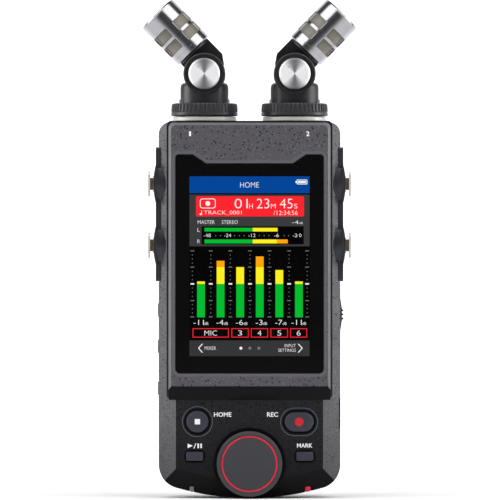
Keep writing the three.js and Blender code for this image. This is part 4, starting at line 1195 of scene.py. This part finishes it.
def barrel_wall():
    """A tube with two rows of four windows whose corners are rounded."""
    heights = [BARREL_FOOT + 2.4]
    open_rows = set()
    rise = [WINDOW_CORNER + z for _, z in arc(0, 0, WINDOW_CORNER, -90, 0, CORNER_STEPS)]
    for foot in WINDOW_FEET:
        edges = [foot + r for r in rise] + [foot + WINDOW_HEIGHT - r for r in reversed(rise)]
        open_rows.update(range(len(heights), len(heights) + len(edges) - 1))
        heights += edges
    heights.append(BARREL_HEAD - 1.2)
    half = math.radians(WINDOW_HALF_TURN)
    pier = math.radians(90) - 2 * half
    bm = bmesh.new()
    levels = []
    for z in heights:
        foot = WINDOW_FEET[0] if z < WINDOW_FEET[1] - 0.01 else WINDOW_FEET[1]
        above = z - foot
        inset = window_inset(above) / BARREL if 0 <= above <= WINDOW_HEIGHT else WINDOW_CORNER / BARREL
        ring = []
        for quarter in range(4):
            start = math.radians(90 * quarter) + pier / 2
            opening = 2 * (half - inset)
            for k in range(BARREL_STEPS):
                ring.append(start + inset + opening * k / BARREL_STEPS)
            for k in range(BARREL_STEPS):
                ring.append(start + 2 * half - inset + (pier + 2 * inset) * k / BARREL_STEPS)
        levels.append([bm.verts.new((
            BARREL * MM * math.cos(turn), BARREL * MM * math.sin(turn), z * MM)) for turn in ring])
    per_quarter = len(levels[0]) // 4
    for row, (here, there) in enumerate(zip(levels, levels[1:])):
        for step in range(len(here)):
            window = row in open_rows and step % per_quarter < per_quarter // 2
            if not window:
                after = (step + 1) % len(here)
                bm.faces.new((here[step], here[after], there[after], there[step]))
    bmesh.ops.recalc_face_normals(bm, faces=bm.faces)
    bmesh.ops.solidify(bm, geom=bm.faces[:], thickness=BARREL_WALL * MM)
    return bm


def build_mic(name, sign):
    pivot = pivot_of(name + "_mic_tilt")
    tilt = Matrix.Rotation(sign * TILT, 4, "Y")
    stand = at(pivot.x, pivot.y, pivot.z) @ tilt
    lean = at(-sign * LEAN, 0, 0)
    body = name + "_microphone"
    outer, inner = NECK - LEAN, NECK + LEAN
    side = [(-outer, 9.7)] + arc(0, 0, outer, 180, 300, 9) + [(8.6, -2.9), (inner, 0.8), (inner, 9.7)]
    blade = prism([(-sign * x, z) for x, z in side], -BLADE_HALF, BLADE_HALF)
    collar = moved(turned([[0, 8.9], [NECK - 0.3, 8.9], [NECK, 9.2], [NECK, 9.9], [0, 9.9]]), lean)
    neck = joined(blade, collar)
    piece = add_piece(name + "_mic_neck", neck, holder_black, body, stand, bevel=0.3, segments=3)
    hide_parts(name + "_mic_arm")
    bore = BARREL - BARREL_WALL
    foot = turned([[0, BARREL_FOOT], [BARREL - 0.5, BARREL_FOOT], [BARREL, BARREL_FOOT + 0.4],
                   [BARREL, BARREL_FOOT + 2.4], [bore, BARREL_FOOT + 2.4], [0, BARREL_FOOT + 2.5]])
    lid = turned([[BARREL, BARREL_HEAD - 1.2], [BARREL, BARREL_HEAD - 0.6], [BARREL - 0.5, BARREL_HEAD],
                  [6.7, BARREL_HEAD], [6.4, BARREL_HEAD - 0.3], [6.4, BARREL_HEAD - 1.1],
                  [bore, BARREL_HEAD - 1.2]], closed=True)
    shell = moved(joined(barrel_wall(), foot, lid), lean)
    piece = add_piece(name + "_mic_barrel", shell, looks["gunmetal"], body, stand, bevel=0.16)
    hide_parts(name + "_mic_head")
    screen = turned([[0, 13.0], [SCREEN, 13.0], [SCREEN, BARREL_HEAD - 1.6], [6.2, BARREL_HEAD - 1.1],
                     [0, BARREL_HEAD - 0.8]])
    piece = add_piece(name + "_mic_gauze", screen, looks["wire_mesh"], body, stand @ lean)
    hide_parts(name + "_mic_screen")


# ---- studio, in metres ----

MIDDLE_HEIGHT = (cad_bounds[0][2] + cad_bounds[1][2]) / 2
TARGET = (0, 0, MIDDLE_HEIGHT)
LENS = 454
CAMERA_AWAY = 2.616
WORLD_GLOW = 0.08
SWEEP_HALF = 4.0
SWEEP_BACK = 2.6
SWEEP_RADIUS = 0.9
SWEEP_TOP = 3.6
GLOW_FROM = 0.02
GLOW_FULL = 0.35
GLOW = 0.95


def build_stage():
    """A pale floor that turns up into a backdrop, and glows from just behind the recorder on."""
    bm = bmesh.new()
    rise = arc(SWEEP_BACK, SWEEP_RADIUS, SWEEP_RADIUS, -90, 0, 16)[1:]
    spine = [(-SWEEP_HALF, 0.0), (SWEEP_BACK, 0.0)] + rise + [(SWEEP_BACK + SWEEP_RADIUS, SWEEP_TOP)]
    rows = [[bm.verts.new((x, y, z)) for x in (-SWEEP_HALF, SWEEP_HALF)] for y, z in spine]
    for here, there in zip(rows, rows[1:]):
        bm.faces.new((here[0], here[1], there[1], there[0]))
    mesh = bpy.data.meshes.new("studio_sweep")
    bm.to_mesh(mesh)
    bm.free()
    sweep = linked("studio_sweep", mesh)
    mesh.shade_smooth()
    look = Look("studio_paper", (0.86, 0.86, 0.86, 1), 0.9)
    look.set("Emission Color", (1, 1, 1, 1))
    glow = look.ranged(look.axes()["Y"], GLOW_FROM, GLOW_FULL, 0.0, GLOW)
    look.set("Emission Strength", glow)
    look.rub(look.noise(20), 0.03)
    mesh.materials.append(look.material)


def add_light(name, place, width, height, power):
    """A soft box that points at the middle of the recorder; sizes in metres, power in watts."""
    data = bpy.data.lights.new(name, "AREA")
    data.shape = "RECTANGLE"
    data.size = width
    data.size_y = height
    data.energy = power
    lamp = linked(name, data)
    lamp.location = place
    lamp.rotation_euler = (Vector(TARGET) - Vector(place)).to_track_quat("-Z", "Y").to_euler()


def build_studio():
    build_stage()
    for side, sign in SIDES:
        add_light("high_%s_light" % side, (sign * 0.6, -0.5, 0.72), 0.9, 0.7, 5.0)
        add_light("side_%s_light" % side, (sign * 0.9, -0.02, 0.2), 0.5, 0.9, 6.0)
    add_light("top_light", (0, -0.2, 0.75), 0.8, 0.3, 2.5)
    world = bpy.data.worlds.new("studio")
    world.use_nodes = True
    background = world.node_tree.nodes["Background"]
    background.inputs["Color"].default_value = (1, 1, 1, 1)
    background.inputs["Strength"].default_value = WORLD_GLOW
    bpy.context.scene.world = world
    bpy.context.scene.view_settings.view_transform = "Standard"


def build_camera():
    """A long lens, level with a point just below the middle of the recorder."""
    data = bpy.data.cameras.new("camera")
    data.lens = LENS
    data.sensor_width = 36
    data.clip_start = 0.05
    data.clip_end = 20
    camera = linked("camera", data)
    camera.location = (0.0002, -CAMERA_AWAY, MIDDLE_HEIGHT - 0.0006)
    camera.rotation_euler = (math.radians(90), 0, 0)
    bpy.context.scene.camera = camera


build_camera()
dress_kept_nodes()
build_bezel()
build_glass()
build_picture()
build_labels()
build_keys()
build_dial()
for name, sign in SIDES:
    build_flank(name, sign)
    build_mic_base(name)
    build_mic_holder(name)
    build_mic(name, sign)
build_small_jacks()
build_back()
build_studio()
